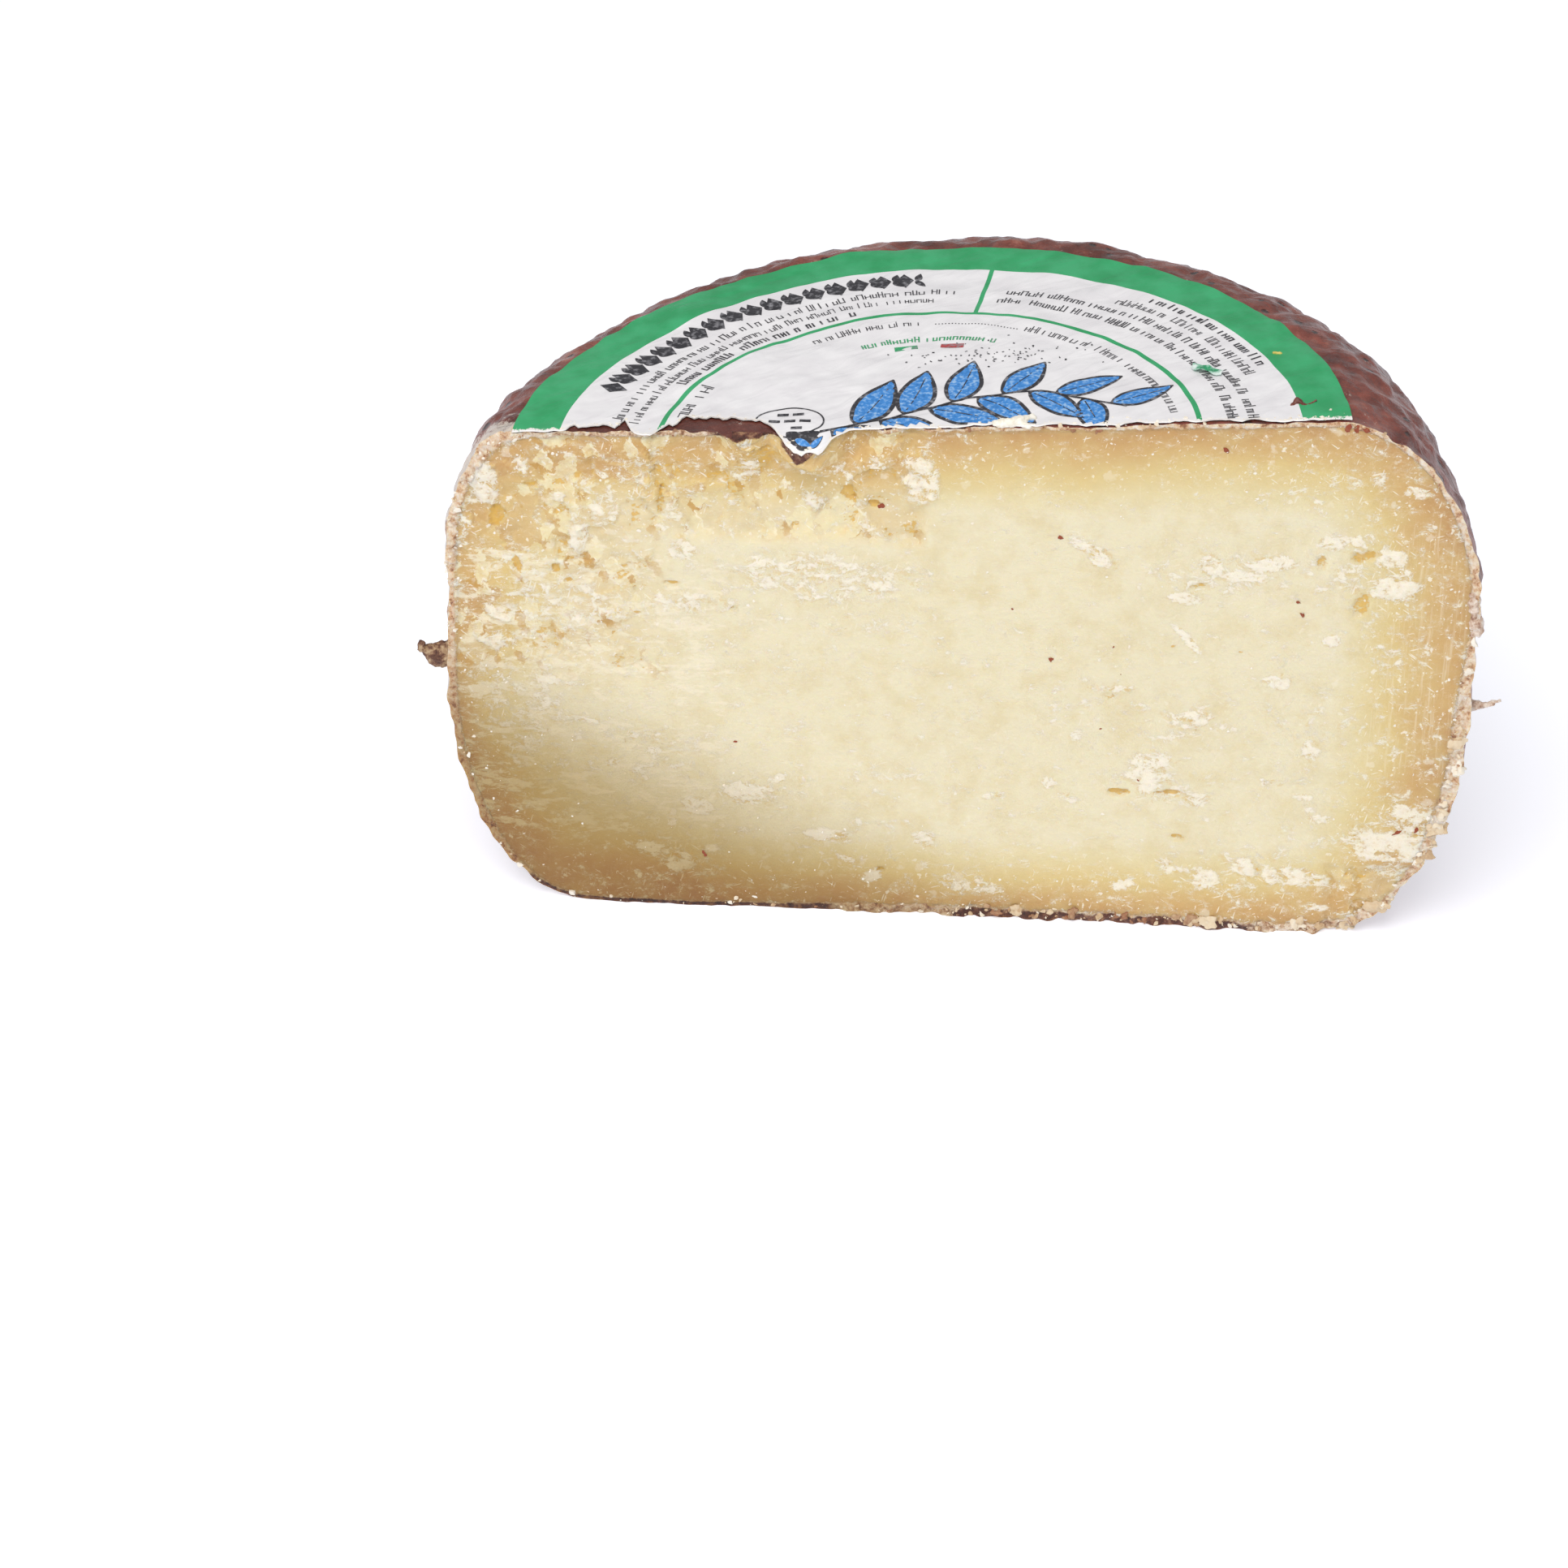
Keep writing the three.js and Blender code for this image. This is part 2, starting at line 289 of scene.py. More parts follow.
# Each one: size of its cells and depth of its relief.
WAVE_SIZE, WAVE_DEPTH = 17.0, 1.2
BUMP_SIZE, BUMP_DEPTH = 4.6, 1.5
PIT_SIZE, PIT_DEPTH = 4.2, 0.6


def texture(name, kind, **settings):
    made = bpy.data.textures.new(name, kind)
    for key, value in settings.items():
        setattr(made, key, value)
    return made


def weigh(piece, name, weights):
    group = piece.vertex_groups.new(name=name)
    for index, weight in enumerate(weights):
        if weight > 0:
            group.add([index], float(weight), "REPLACE")
    return group.name


def crust_width(x, z):
    lower_right = ease((x - 60) / 20) * ease((66 - z) / 20) * (0.3 + 0.7 * ease((z - 14) / 8))
    board = 0.8 * ease((10 - z) / 8) * ease((x + 40) / 30)
    left = 0.25 * ease((-70 - x) / 12)
    upper_left = 0.5 * ease((z - 62) / 8) * ease((-76 - x) / 5)
    return THIN_RIND + (THICK_RIND - THIN_RIND) * np.clip(lower_right + board + left + upper_left, 0, 1)


core = copy_of(wheel, "core")
spots = places(core)
thickness = weigh(core, "thickness", crust_width(spots[:, 0] - AXIS_X, spots[:, 2]) / THICK_RIND)
modify(core, "DISPLACE", strength=-THICK_RIND * MM, mid_level=0, vertex_group=thickness)

use(wheel)
wheel.data.remesh_voxel_size = SKIN_GRID * MM
bpy.ops.object.voxel_remesh()
height = places(wheel)[:, 2]
off_the_board = weigh(wheel, "off the board", ease((height - FOOT_CLEAR) / FOOT_FADE))
pitted = ease((height - FOOT_CLEAR) / FOOT_FADE)
away = np.hypot(places(wheel)[:, 0] - LABEL_X, places(wheel)[:, 1] - LABEL_Y)
under_paper = (height > LABEL_LOWEST) * ease((LABEL_RADIUS - away) / 2)
pitted = weigh(wheel, "pitted", pitted * (1 - PRESSED_FLAT * under_paper))
waves = texture("cloth waves", "CLOUDS", noise_scale=WAVE_SIZE * MM, noise_depth=1)
bumps = texture("bumps", "CLOUDS", noise_scale=BUMP_SIZE * MM, noise_depth=1)
pits = texture("pits", "VORONOI", noise_scale=PIT_SIZE * MM, noise_intensity=1.3)
modify(wheel, "DISPLACE", texture=waves, strength=WAVE_DEPTH * MM, mid_level=0.5, vertex_group=off_the_board)
modify(wheel, "DISPLACE", texture=bumps, strength=BUMP_DEPTH * MM, mid_level=0.5, vertex_group=pitted)
modify(wheel, "DISPLACE", texture=pits, strength=PIT_DEPTH * MM, mid_level=0.55, vertex_group=pitted)
former = copy_of(wheel, "former")
height = places(wheel)[:, 2]
print("rind skin:", len(wheel.data.polygons), "faces, height", round(height.min(), 1), round(height.max(), 1))

# %% [markdown]
# ## The knife
# The cut face is made as it was in life: by a knife. The knife is a fine upright grid with the relief of the
# cut pressed into it, extruded towards the viewer into a block and taken away from rind and core with a
# Boolean. Where the paste was moist the blade slid and left it smooth. In the upper left it tore the paste
# into chips. Flakes stand up from the face, and eyes and cracks are sunk into it.

# %% What stands up from the cut face and what is sunk into it
# Each one: x and z of its middle, half width, half height, tilt in degrees, lift, and how plain it shows.
FLAKES = (
    (-23.7, 71.0, 15.8, 5.0, 0, 0.55, 0.6), (-47.0, 64.0, 8.0, 2.3, 0, 0.5, 0.6),
    (-82.0, 86.0, 2.7, 4.5, -12, 1.0, 1.0), (-75.0, 90.0, 1.1, 2.4, 5, 0.7, 0.8),
    (-69.0, 84.4, 1.1, 1.2, 0, 0.7, 0.9), (-66.0, 75.6, 1.5, 2.6, 10, 0.9, 1.0),
    (-54.0, 88.5, 1.9, 5.2, -5, 1.1, 0.6), (-80.5, 60.0, 2.9, 1.1, 25, 0.9, 1.0),
    (-81.0, 54.5, 3.7, 1.5, 12, 0.9, 1.0), (-47.8, 74.9, 2.6, 2.2, 0, 0.6, 0.8),
    (-7.2, 91.5, 2.7, 5.2, 0, 1.1, 0.9), (-25.0, 85.3, 2.0, 1.4, 20, 0.8, 0.8),
    (-17.2, 85.1, 1.2, 1.7, 0, 0.7, 0.7), (-67.3, 93.0, 3.4, 1.6, 10, 0.6, 0.35),
    (-37.0, 91.0, 2.6, 2.0, -20, 0.6, 0.7), (-60.5, 61.0, 3.0, 1.2, 0, 0.5, 0.8),
    (-71.0, 47.0, 3.6, 1.0, 8, 0.4, 0.8), (-66.0, 39.0, 3.2, 0.8, 10, 0.3, 0.7),
    (-77.0, 33.0, 4.2, 0.9, -8, 0.3, 0.7), (-80.0, 42.0, 2.4, 0.8, 12, 0.3, 0.8),
    (22.5, 78.0, 4.2, 1.8, 35, 0.6, 1.0), (42.5, 76.4, 2.3, 2.2, 0, 0.35, 0.9),
    (53.0, 76.9, 4.8, 1.6, -8, 0.35, 0.9), (47.7, 74.2, 3.6, 1.1, 0, 0.3, 0.9),
    (38.3, 69.5, 2.7, 1.2, 8, 0.3, 0.9), (62.6, 81.4, 2.6, 1.4, 10, 0.6, 0.9),
    (66.6, 82.3, 1.1, 1.3, 0, 0.6, 0.9), (66.8, 72.3, 1.2, 1.6, 0, 0.5, 0.8),
    (38.7, 61.7, 3.9, 0.8, 48, 0.6, 1.0), (73.7, 73.0, 4.4, 2.5, 0, 0.9, 1.0),
    (72.4, 79.0, 3.0, 1.8, 0, 0.6, 0.9), (63.6, 62.3, 1.7, 1.2, 0, 0.3, 0.8),
    (69.5, 94.9, 1.6, 1.6, 0, 0.4, 0.8), (76.0, 92.4, 2.4, 1.0, 10, 0.4, 0.9),
    (54.7, 53.5, 2.8, 1.7, 0, 0.25, 0.7), (26.4, 50.4, 3.8, 0.8, 0, 0.3, 0.8),
    (41.0, 44.6, 3.9, 2.0, 0, 0.3, 0.8), (47.2, 43.3, 1.8, 1.0, 10, 0.2, 0.7),
    (61.5, 39.0, 1.8, 2.8, 0, 0.25, 0.8), (34.1, 34.5, 3.5, 3.8, 0, 0.35, 0.8),
    (33.4, 30.2, 2.2, 2.0, 0, 0.35, 0.9), (42.0, 27.6, 3.0, 1.6, 0, 0.3, 0.8),
    (55.2, 32.0, 2.6, 0.9, 0, 0.35, 0.8), (61.1, 29.5, 2.0, 0.8, 5, 0.35, 0.9),
    (7.4, 26.9, 2.6, 1.0, -12, 0.25, 0.8), (16.3, 30.0, 1.3, 1.3, 0, 0.3, 0.8),
    (19.8, 27.1, 2.2, 1.2, 25, 0.3, 0.8), (64.0, 25.0, 2.1, 1.0, 0, 0.3, 0.8),
    (60.5, 12.3, 6.2, 2.2, 4, 0.45, 1.0), (51.8, 13.6, 2.4, 2.2, 0, 0.45, 1.0),
    (44.7, 10.6, 2.5, 2.2, -30, 0.45, 1.0), (38.2, 13.4, 2.6, 1.4, 10, 0.25, 0.7),
    (30.0, 8.5, 2.8, 1.3, 0, 0.3, 0.8), (64.6, 5.8, 2.4, 1.2, 0, 0.4, 0.8),
    (77.0, 20.2, 8.2, 3.8, 4, 0.8, 1.0), (80.0, 27.0, 4.0, 2.0, 10, 0.5, 0.8),
    (75.5, 14.2, 3.6, 1.4, 20, 0.4, 0.7), (-36.5, 24.6, 4.4, 2.4, 4, 0.25, 0.9),
    (-31.8, 28.2, 1.7, 0.9, -15, 0.3, 1.0), (-45.6, 21.6, 2.8, 1.8, 15, 0.25, 0.9),
    (-50.4, 19.2, 0.9, 1.8, 0, 0.25, 0.8), (-22.3, 16.4, 3.8, 1.8, 8, 0.25, 0.9),
    (-19.4, 11.6, 2.0, 0.8, 22, 0.3, 1.0), (-14.6, 8.1, 2.0, 1.1, -25, 0.3, 1.0),
    (-5.3, 16.5, 2.0, 2.2, -20, 0.25, 0.7), (3.0, 6.7, 5.6, 1.8, 0, 0.3, 0.7),
    (-49.1, 9.9, 3.0, 3.2, 20, 0.4, 0.9), (-44.0, 12.6, 2.2, 0.8, -10, 0.3, 0.8),
    (-55.0, 12.4, 4.6, 1.0, 8, 0.25, 0.7), (-57.3, 36.0, 1.2, 1.0, 0, 0.25, 0.9),
    (-53.5, 33.0, 1.6, 0.9, 0, 0.25, 0.8), (-61.0, 30.0, 1.2, 1.4, 0, 0.25, 0.8),
)
HOLLOWS = (
    (-80.0, 79.4, 1.3, 2.2, 15, 1.1, 1.0), (-73.8, 86.5, 1.3, 0.8, 0, 0.8, 0.8),
    (-65.8, 88.3, 0.8, 0.5, 0, 1.0, 1.0), (-76.5, 70.3, 0.8, 1.6, -20, 1.1, 1.0),
    (-70.1, 69.8, 0.9, 1.0, 0, 1.3, 1.0), (-67.9, 67.4, 0.9, 0.5, 0, 0.9, 1.0),
    (-51.6, 84.0, 0.7, 3.0, 0, 1.2, 0.8), (-49.7, 68.0, 1.3, 0.5, 0, 0.9, 0.9),
    (-55.7, 61.4, 1.0, 0.6, 0, 0.7, 0.7), (-59.6, 51.2, 1.2, 1.5, 15, 0.7, 0.6),
    (-19.3, 86.7, 1.5, 1.8, 0, 1.5, 1.0), (-15.2, 85.3, 1.2, 1.0, 15, 1.3, 1.0),
    (-28.4, 80.6, 1.0, 0.7, 0, 0.8, 0.9), (-38.8, 63.7, 1.0, 0.5, -20, 0.8, 0.7),
    (26.8, 48.8, 2.0, 0.9, 0, 0.6, 0.6), (68.0, 79.2, 2.4, 1.1, -15, 1.1, 0.9),
    (61.0, 77.8, 0.9, 1.6, 10, 0.9, 0.8), (28.6, 28.8, 2.2, 0.6, 0, 1.2, 1.1),
    (37.0, 29.1, 2.6, 0.5, -3, 1.0, 1.0), (40.4, 72.0, 1.8, 0.5, -10, 0.7, 0.8),
    (39.4, 19.7, 1.2, 0.6, 10, 0.9, 1.0), (-13.0, 9.6, 0.8, 0.5, 0, 0.8, 0.8),
    (68.0, 69.5, 1.4, 2.4, 25, 0.9, 0.9), (36.6, 59.5, 0.7, 0.4, 0, 0.4, 0.8),
    (48.6, 59.2, 1.0, 0.3, -10, 0.4, 0.8), (41.0, 42.4, 2.2, 0.4, 10, 0.5, 0.6),
    (55.4, 31.6, 1.1, 0.5, -10, 0.5, 0.8), (54.0, 13.4, 0.8, 1.0, 0, 0.6, 0.7),
    (-58.5, 34.6, 0.5, 0.6, 0, 0.4, 0.6), (80.6, 22.6, 2.6, 0.35, 6, 0.6, 0.6),
    (76.0, 18.4, 3.0, 0.3, 4, 0.6, 0.6),
)
# Each one: from and to which x, from and to which z, and how soft its edge is.
TORN_BANDS = ((-110, -7, 78.3, 130, 4.0), (-110, -54, 50, 130, 14), (66, 110, -20, 15, 2.0))


def spot_share(spot, x, z, seed):
    """How much a place belongs to a spot, once with a sharp edge and once with a soft one."""
    sharp, soft = np.zeros(x.shape), np.zeros(x.shape)
    near = np.hypot(x - spot[0], z - spot[1]) < 1.9 * max(spot[2], spot[3]) + 0.5
    x, z = x[near], z[near]
    turn = math.radians(spot[4])
    across = (x - spot[0]) * math.cos(turn) - (z - spot[1]) * math.sin(turn)
    along = (x - spot[0]) * math.sin(turn) + (z - spot[1]) * math.cos(turn)
    reach = np.hypot(across / spot[2], along / spot[3])
    ragged = 0.36 * rough(x / 1.5, z, 1.7, seed, 4)
    sharp[near] = ease((1.05 + ragged - reach) / 0.3)
    soft[near] = ease((1.55 + 0.5 * ragged - reach) / 1.0)
    return sharp, soft


def torn_share(x, z):
    wobble = rough(x, z, 9, 3)
    shares = []
    for left, right, low, high, softness in TORN_BANDS:
        inside = np.minimum(np.minimum(x - left, right - x), np.minimum(z - low, high - z)) + wobble
        shares.append(ease(inside / softness + 0.5))
    return np.max(shares, axis=0)


LEDGE = 4.0
LEDGE_SAG = 0.6
# Each one: x of its middle, half width, and its share of the full ledge.
LEDGES = ((TIP_X, TIP_HALF, 1.0), (-37.0, 4.5, 0.65))


def ledge_share(x, z):
    """Where the rind stands out under the torn edge of the label, and hangs a little."""
    shares = [most * ease(1.25 - np.abs(x - middle) / half) for middle, half, most in LEDGES]
    return np.max(shares, axis=0) * ease((z - 90) / 7)


def cut_face(x, z):
    """Lift of the cut towards the viewer in mm, then the flaked and lit share, the hollow and shaded share,
    and how torn each place is.
    """
    torn = torn_share(x, z)
    frayed_x, frayed_z = x + 0.45 * rough(x, z, 1.8, 35), z + 0.45 * rough(x, z, 1.8, 37)
    broken = 0.9 * chips(frayed_x, frayed_z, 6.5, 11) + 0.35 * chips(frayed_x, frayed_z, 2.6, 23)
    smooth = 0.09 * rough(x, z / 0.6, 5, 41) + 0.04 * rough(x, z, 1.2, 43, 2)
    lift = 0.5 * noise(x / 55, z / 55, 0) + 0.25 * noise(x / 12, z / 12, 5) + smooth
    lift = lift + torn * (0.32 * broken - 1.0 + 0.7 * ease((z - 92) / 6) * rough(x, z, 4.5, 61))
    lift = lift + torn * (0.5 * rough(x, z, 6.0, 63) + 0.14 * rough(x, z, 1.4, 31))
    lift = lift + LEDGE * ledge_share(x, z)
    # In the torn zone colour follows the height of the chips: high chips are painted pale and low ones
    # golden, painted light and painted shade over the curd's own tone.
    flaked_and_lit = torn * ease(1.3 * broken - 0.3) * 0.6
    hollow_and_shaded = torn * ease(-1.3 * broken - 0.45) * 0.7
    proud = (0.35 + 0.3 * torn) * (1 + 0.5 * rough(x, z, 1.1, 47, 2))
    for index, spot in enumerate(FLAKES):
        sharp, soft = spot_share(spot, x, z, 50 + index)
        lift = lift + spot[5] * sharp * proud
        flaked_and_lit = np.maximum(flaked_and_lit, spot[6] * soft)
        hollow_and_shaded = hollow_and_shaded * (1 - sharp)
    for index, spot in enumerate(HOLLOWS):
        sharp, soft = spot_share(spot, x, z, 190 + index)
        lift = lift - 0.45 * spot[5] * sharp
        hollow_and_shaded = np.maximum(hollow_and_shaded, spot[6] * soft)
        flaked_and_lit = flaked_and_lit * (1 - sharp)
    return lift, flaked_and_lit, hollow_and_shaded, torn


print("the cut:", len(FLAKES), "flakes,", len(HOLLOWS), "eyes and cracks,", len(TORN_BANDS), "torn bands")

# %% How far a place on the cut lies from the rind, and whether it is inside
OUTLINE_STEPS = 24


def front_outline():
    turn = np.linspace(0, math.pi / 2, OUTLINE_STEPS)
    flat = MOULD_RADIUS - MOULD_ROUND
    out, up = MOULD_ROUND * np.sin(turn), MOULD_ROUND * np.cos(turn)
    foot = np.column_stack([flat + out, MOULD_ROUND - up])
    shoulder = np.column_stack([flat + up, MOULD_HEIGHT - MOULD_ROUND + out])
    half = np.vstack([foot, shoulder])
    right = np.column_stack([half[:, 0], np.zeros(len(half)), half[:, 1]])
    left = right[::-1] * (-1, 1, 1)
    ring = drawn_to_form(np.vstack([right, left]))
    return ring[:, [0, 2]] - (AXIS_X, 0)


OUTLINE = front_outline()


def rim_distance(x, z):
    """Distance to the outline, less than nothing outside it."""
    nearest = np.full(np.shape(x), np.inf)
    inside = np.zeros(np.shape(x), bool)
    for (ax, az), (bx, bz) in zip(OUTLINE, np.roll(OUTLINE, -1, axis=0)):
        run_x, run_z = bx - ax, bz - az
        length = run_x**2 + run_z**2
        share = np.clip(((x - ax) * run_x + (z - az) * run_z) / max(length, 1e-9), 0, 1)
        nearest = np.minimum(nearest, np.hypot(x - ax - share * run_x, z - az - share * run_z))
        if az != bz:
            crossed = (az > z) != (bz > z)
            inside ^= crossed & (x < ax + (z - az) / (bz - az) * run_x)
    return np.where(inside, nearest, -nearest)


print("outline of the cut:", len(OUTLINE), "points,", round(float(np.ptp(OUTLINE[:, 0])), 1), "mm wide")

# %% The knife block, and both cuts
KNIFE_WIDTH = 196.0
KNIFE_HEIGHT = 112.0
KNIFE_GRID = 0.5
KNIFE_DEPTH = 110.0
KNIFE_FLOOR = -2.0
RIM_RAGGED = 0.55


def crumbly(x, z):
    """How crumbly the rind's section is: least where it is thin, at the right and at the top right."""
    top_left = ease((z - 60) / 8) * ease((-72 - x) / 6)
    top = 0.7 * ease((z - 90) / 6) * ease((48 - x) / 12)
    board = ease((12 - z) / 8) * ease((x + 30) / 20)
    lower_right = ease((x - 60) / 15) * ease((64 - z) / 14)
    return np.clip(top_left + top + board + lower_right, 0.25, 1)


def cut_lift(x, z):
    at_rim = ease(1.3 - np.abs(rim_distance(x, z)) / (1.6 * crust_width(x, z)))
    return cut_face(x, z)[0] + at_rim * crumbly(x, z) * RIM_RAGGED * rough(x, z, 1.9, 71, 2)


bpy.ops.mesh.primitive_grid_add(
    x_subdivisions=int(KNIFE_WIDTH / KNIFE_GRID), y_subdivisions=int(KNIFE_HEIGHT / KNIFE_GRID), size=1
)
knife = bpy.context.object
knife.name = "knife"
knife.scale = (KNIFE_WIDTH * MM, KNIFE_HEIGHT * MM, 1)
knife.rotation_euler = (math.pi / 2, 0, 0)
knife.location = (AXIS_X * MM, CUT_Y * MM, (KNIFE_FLOOR + KNIFE_HEIGHT / 2) * MM)
bpy.ops.object.transform_apply(location=True, rotation=True, scale=True)
points = places(knife)
points[:, 1] = CUT_Y - cut_lift(points[:, 0] - AXIS_X, points[:, 2])
put(knife, points)
edit(knife)
bpy.ops.mesh.select_mode(type="EDGE")
bpy.ops.mesh.select_all(action="SELECT")
bpy.ops.mesh.region_to_loop()
bpy.ops.mesh.extrude_edges_move(TRANSFORM_OT_translate={"value": (0, -KNIFE_DEPTH * MM, 0)})
bpy.ops.mesh.edge_face_add()
bpy.ops.mesh.select_all(action="SELECT")
bpy.ops.mesh.normals_make_consistent(inside=False)
leave_edit()

for piece, tool in ((wheel, core), (wheel, knife), (core, knife)):
    modify(piece, "BOOLEAN", object=tool, operation="DIFFERENCE", solver="MANIFOLD")
bpy.data.objects.remove(knife)
rind, paste = wheel, core
rind.name = "rind"
paste.name = "paste"
for piece in (rind, paste):
    points = places(piece)
    forward = np.maximum(0, CUT_Y - points[:, 1])
    points[:, 2] -= LEDGE_SAG * forward * ledge_share(points[:, 0] - AXIS_X, points[:, 2])
    put(piece, points)
    print(piece.name, len(piece.data.polygons), "faces, from", points.min(axis=0), "to", points.max(axis=0))

# %% [markdown]
# ## The label
# The label was glued on the whole wheel and cut with it, so it is a half disc of paper with a torn front
# edge. An edge from the middle of its straight side is spun half a turn, which makes a fan, and the fan's
# rays are drawn out to the round edge. A Shrinkwrap modifier then drops the paper on the rind.

# %% Paper on the rind
LABEL_SETBACK = 0.25
LABEL_RAY_STEPS = 220
LABEL_TURN_STEPS = 150
LABEL_GAP = 0.3
LABEL_THICKNESS = 0.25
SMOOTH_ROUNDS = 3
# Each one: x of its middle, half width to the left, half width to the right, depth of the tear, bluntness.
FRONT_TEARS = (
    (-42.5, 9.5, 11.0, 3.8, 1.4), (-60.5, 6.5, 5.5, 2.0, 1.4), (18.0, 5.0, 5.0, 0.5, 1.4),
    (40.0, 7.0, 7.0, 0.4, 1.4), (TIP_X, TIP_HALF, 1.2 * TIP_HALF, -LEDGE - 0.3, 0.9),
    (6.0, 4.0, 4.0, 0.5, 1.2),
)
TEAR_FADE = 9.0
# From and to which x the left of the front edge is torn most.
FRAYED_FROM, FRAYED_TO = -70, -32


def front_tear(x):
    frayed = 1 + 3.5 * ease((FRAYED_TO - x) / 4) * ease((x - FRAYED_FROM) / 4)
    frayed = frayed + 1.5 * ease(1.2 - np.abs(x - TIP_X) / TIP_HALF)
    depth = 0.3 * rough(x, 0.0 * x, 3.2, 131) + 0.28 * frayed * rough(x, 0.0 * x, 1.7, 133, 3)
    for middle, left, right, deep, blunt in FRONT_TEARS:
        reach = np.abs(x - middle) / np.where(x < middle, left, right)
        depth = depth + deep * ease(blunt * (1.2 - reach))
    return depth


bpy.ops.mesh.primitive_plane_add(size=LABEL_RADIUS * MM, location=(0, 0, 0))
label = bpy.context.object
label.name = "paper"
edit(label)
pick(label, "VERT", lambda vert: vert.co.y > 0)
bpy.ops.mesh.delete(type="VERT")
bpy.ops.mesh.select_all(action="SELECT")
bpy.ops.mesh.subdivide(number_cuts=LABEL_RAY_STEPS - 1)
leave_edit()
ray = places(label)
ray[:, 0] += LABEL_RADIUS / 2
ray[:, 1:] = 0
put(label, ray)
edit(label)
bpy.ops.mesh.select_all(action="SELECT")
bpy.ops.mesh.spin(steps=LABEL_TURN_STEPS, angle=math.pi, center=(0, 0, 0), axis=(0, 0, 1))
bpy.ops.mesh.select_all(action="SELECT")
bpy.ops.mesh.remove_doubles(threshold=0.01 * MM)
leave_edit()

# %% The fan drawn out to the label's own outline
fan = places(label)
share = np.hypot(fan[:, 0], fan[:, 1]) / LABEL_RADIUS
turn = np.abs(np.arctan2(fan[:, 1], fan[:, 0]))
drop = CUT_Y + LABEL_SETBACK - LABEL_Y
reach = -drop * np.sin(turn) + np.sqrt(LABEL_RADIUS**2 - (drop * np.cos(turn)) ** 2)
fan[:, 0] = LABEL_X + share * reach * np.cos(turn)
behind = share * reach * np.sin(turn)
ends = ease((LABEL_RADIUS - 3 - np.abs(fan[:, 0] - LABEL_X)) / 6)
torn_away = front_tear(fan[:, 0] - AXIS_X) * ends * ease(1 - behind / TEAR_FADE)
fan[:, 1] = CUT_Y + LABEL_SETBACK + behind + torn_away
fan[:, 2] = 2 * WHEEL_HEIGHT
put(label, fan)
label.data.attributes.new("behind", "FLOAT", "POINT").data.foreach_set("value", behind)
modify(label, "SHRINKWRAP", target=former, wrap_method="PROJECT", use_project_z=True,
       use_negative_direction=True, use_positive_direction=False, offset=LABEL_GAP * MM)
bpy.data.objects.remove(former)
modify(label, "SMOOTH", factor=0.5, iterations=SMOOTH_ROUNDS, use_x=False, use_y=False)
laid = places(label)
forward = np.maximum(0, CUT_Y - laid[:, 1])
laid[:, 2] -= LEDGE_SAG * forward * ledge_share(laid[:, 0] - AXIS_X, laid[:, 2])
put(label, laid)
edit(label)
bpy.ops.mesh.select_all(action="SELECT")
bpy.ops.mesh.normals_make_consistent(inside=False)
leave_edit()
if sum(face.normal.z for face in label.data.polygons) < 0:
    label.data.flip_normals()
modify(label, "SOLIDIFY", thickness=LABEL_THICKNESS * MM, offset=1)
height = places(label)[:, 2]
print("paper:", len(label.data.polygons), "faces, height", round(height.min(), 1), round(height.max(), 1))

# %% [markdown]
# ## Print on the label
# The print is ink, but ink of a few hundredths of a millimetre can be modelled too, and then needs no image.
# A few stamps are modelled flat: a stroke, a lozenge, a leaf with a dark outline and an oval. Copies of them
# are placed round the label's middle, dropped on the paper and given a little thickness. Small print is
# rows of strokes that look like words from afar and say nothing.

# %% Stamps
def stamp(name, columns, rows):
    bpy.ops.mesh.primitive_grid_add(x_subdivisions=columns, y_subdivisions=rows, size=1 * MM)
    made = bpy.context.object
    made.name = name
    return made


def outlined(piece, width):
    edit(piece)
    bpy.ops.mesh.select_mode(type="FACE")
    bpy.ops.mesh.select_all(action="SELECT")
    bpy.ops.mesh.inset(thickness=width * MM)
    leave_edit()
    return [not face.select for face in piece.data.polygons]


stroke = stamp("stroke", 1, 1)
lozenge = stamp("lozenge", 4, 4)
points = places(lozenge)
put(lozenge, np.column_stack([points[:, 0] - points[:, 1], points[:, 0] + points[:, 1], 0 * points[:, 0]]))
LEAF_LENGTH = 11.0
LEAF_HALF_WIDTH = 2.4
LEAF_OUTLINE = 0.55
leaf = stamp("leaf", 14, 6)
points = places(leaf)
along = np.clip(points[:, 0] + 0.5, 0, 1)
belly = LEAF_HALF_WIDTH * np.sin(math.pi * along**0.8) ** 0.9 + 0.12
bend = 1.4 * along**2
put(leaf, np.column_stack([LEAF_LENGTH * along, 2 * points[:, 1] * belly + bend, 0 * along]))
leaf_edge = outlined(leaf, LEAF_OUTLINE)
OVAL_HALF_WIDTH = 5.9
OVAL_HALF_HEIGHT = 4.6
OVAL_LINE = 0.3
bpy.ops.mesh.primitive_circle_add(vertices=48, radius=1 * MM, fill_type="NGON")
oval = bpy.context.object
put(oval, places(oval) * (OVAL_HALF_WIDTH, OVAL_HALF_HEIGHT, 1))
outlined(oval, OVAL_LINE)
edit(oval)
bpy.ops.mesh.select_mode(type="FACE")
pick(oval, "FACE", lambda face: len(face.verts) > 4)
bpy.ops.mesh.delete(type="FACE")
leave_edit()
print("leaf faces:", len(leaf_edge), "of them in the outline:", sum(leaf_edge))


# %% Copies of a stamp, dropped on the paper
MISSED_PAPER = 1.5 * WHEEL_HEIGHT
INK_THICKNESS = 0.02
INK_HEIGHT = 0.06
LINE_HEIGHT = 0.1


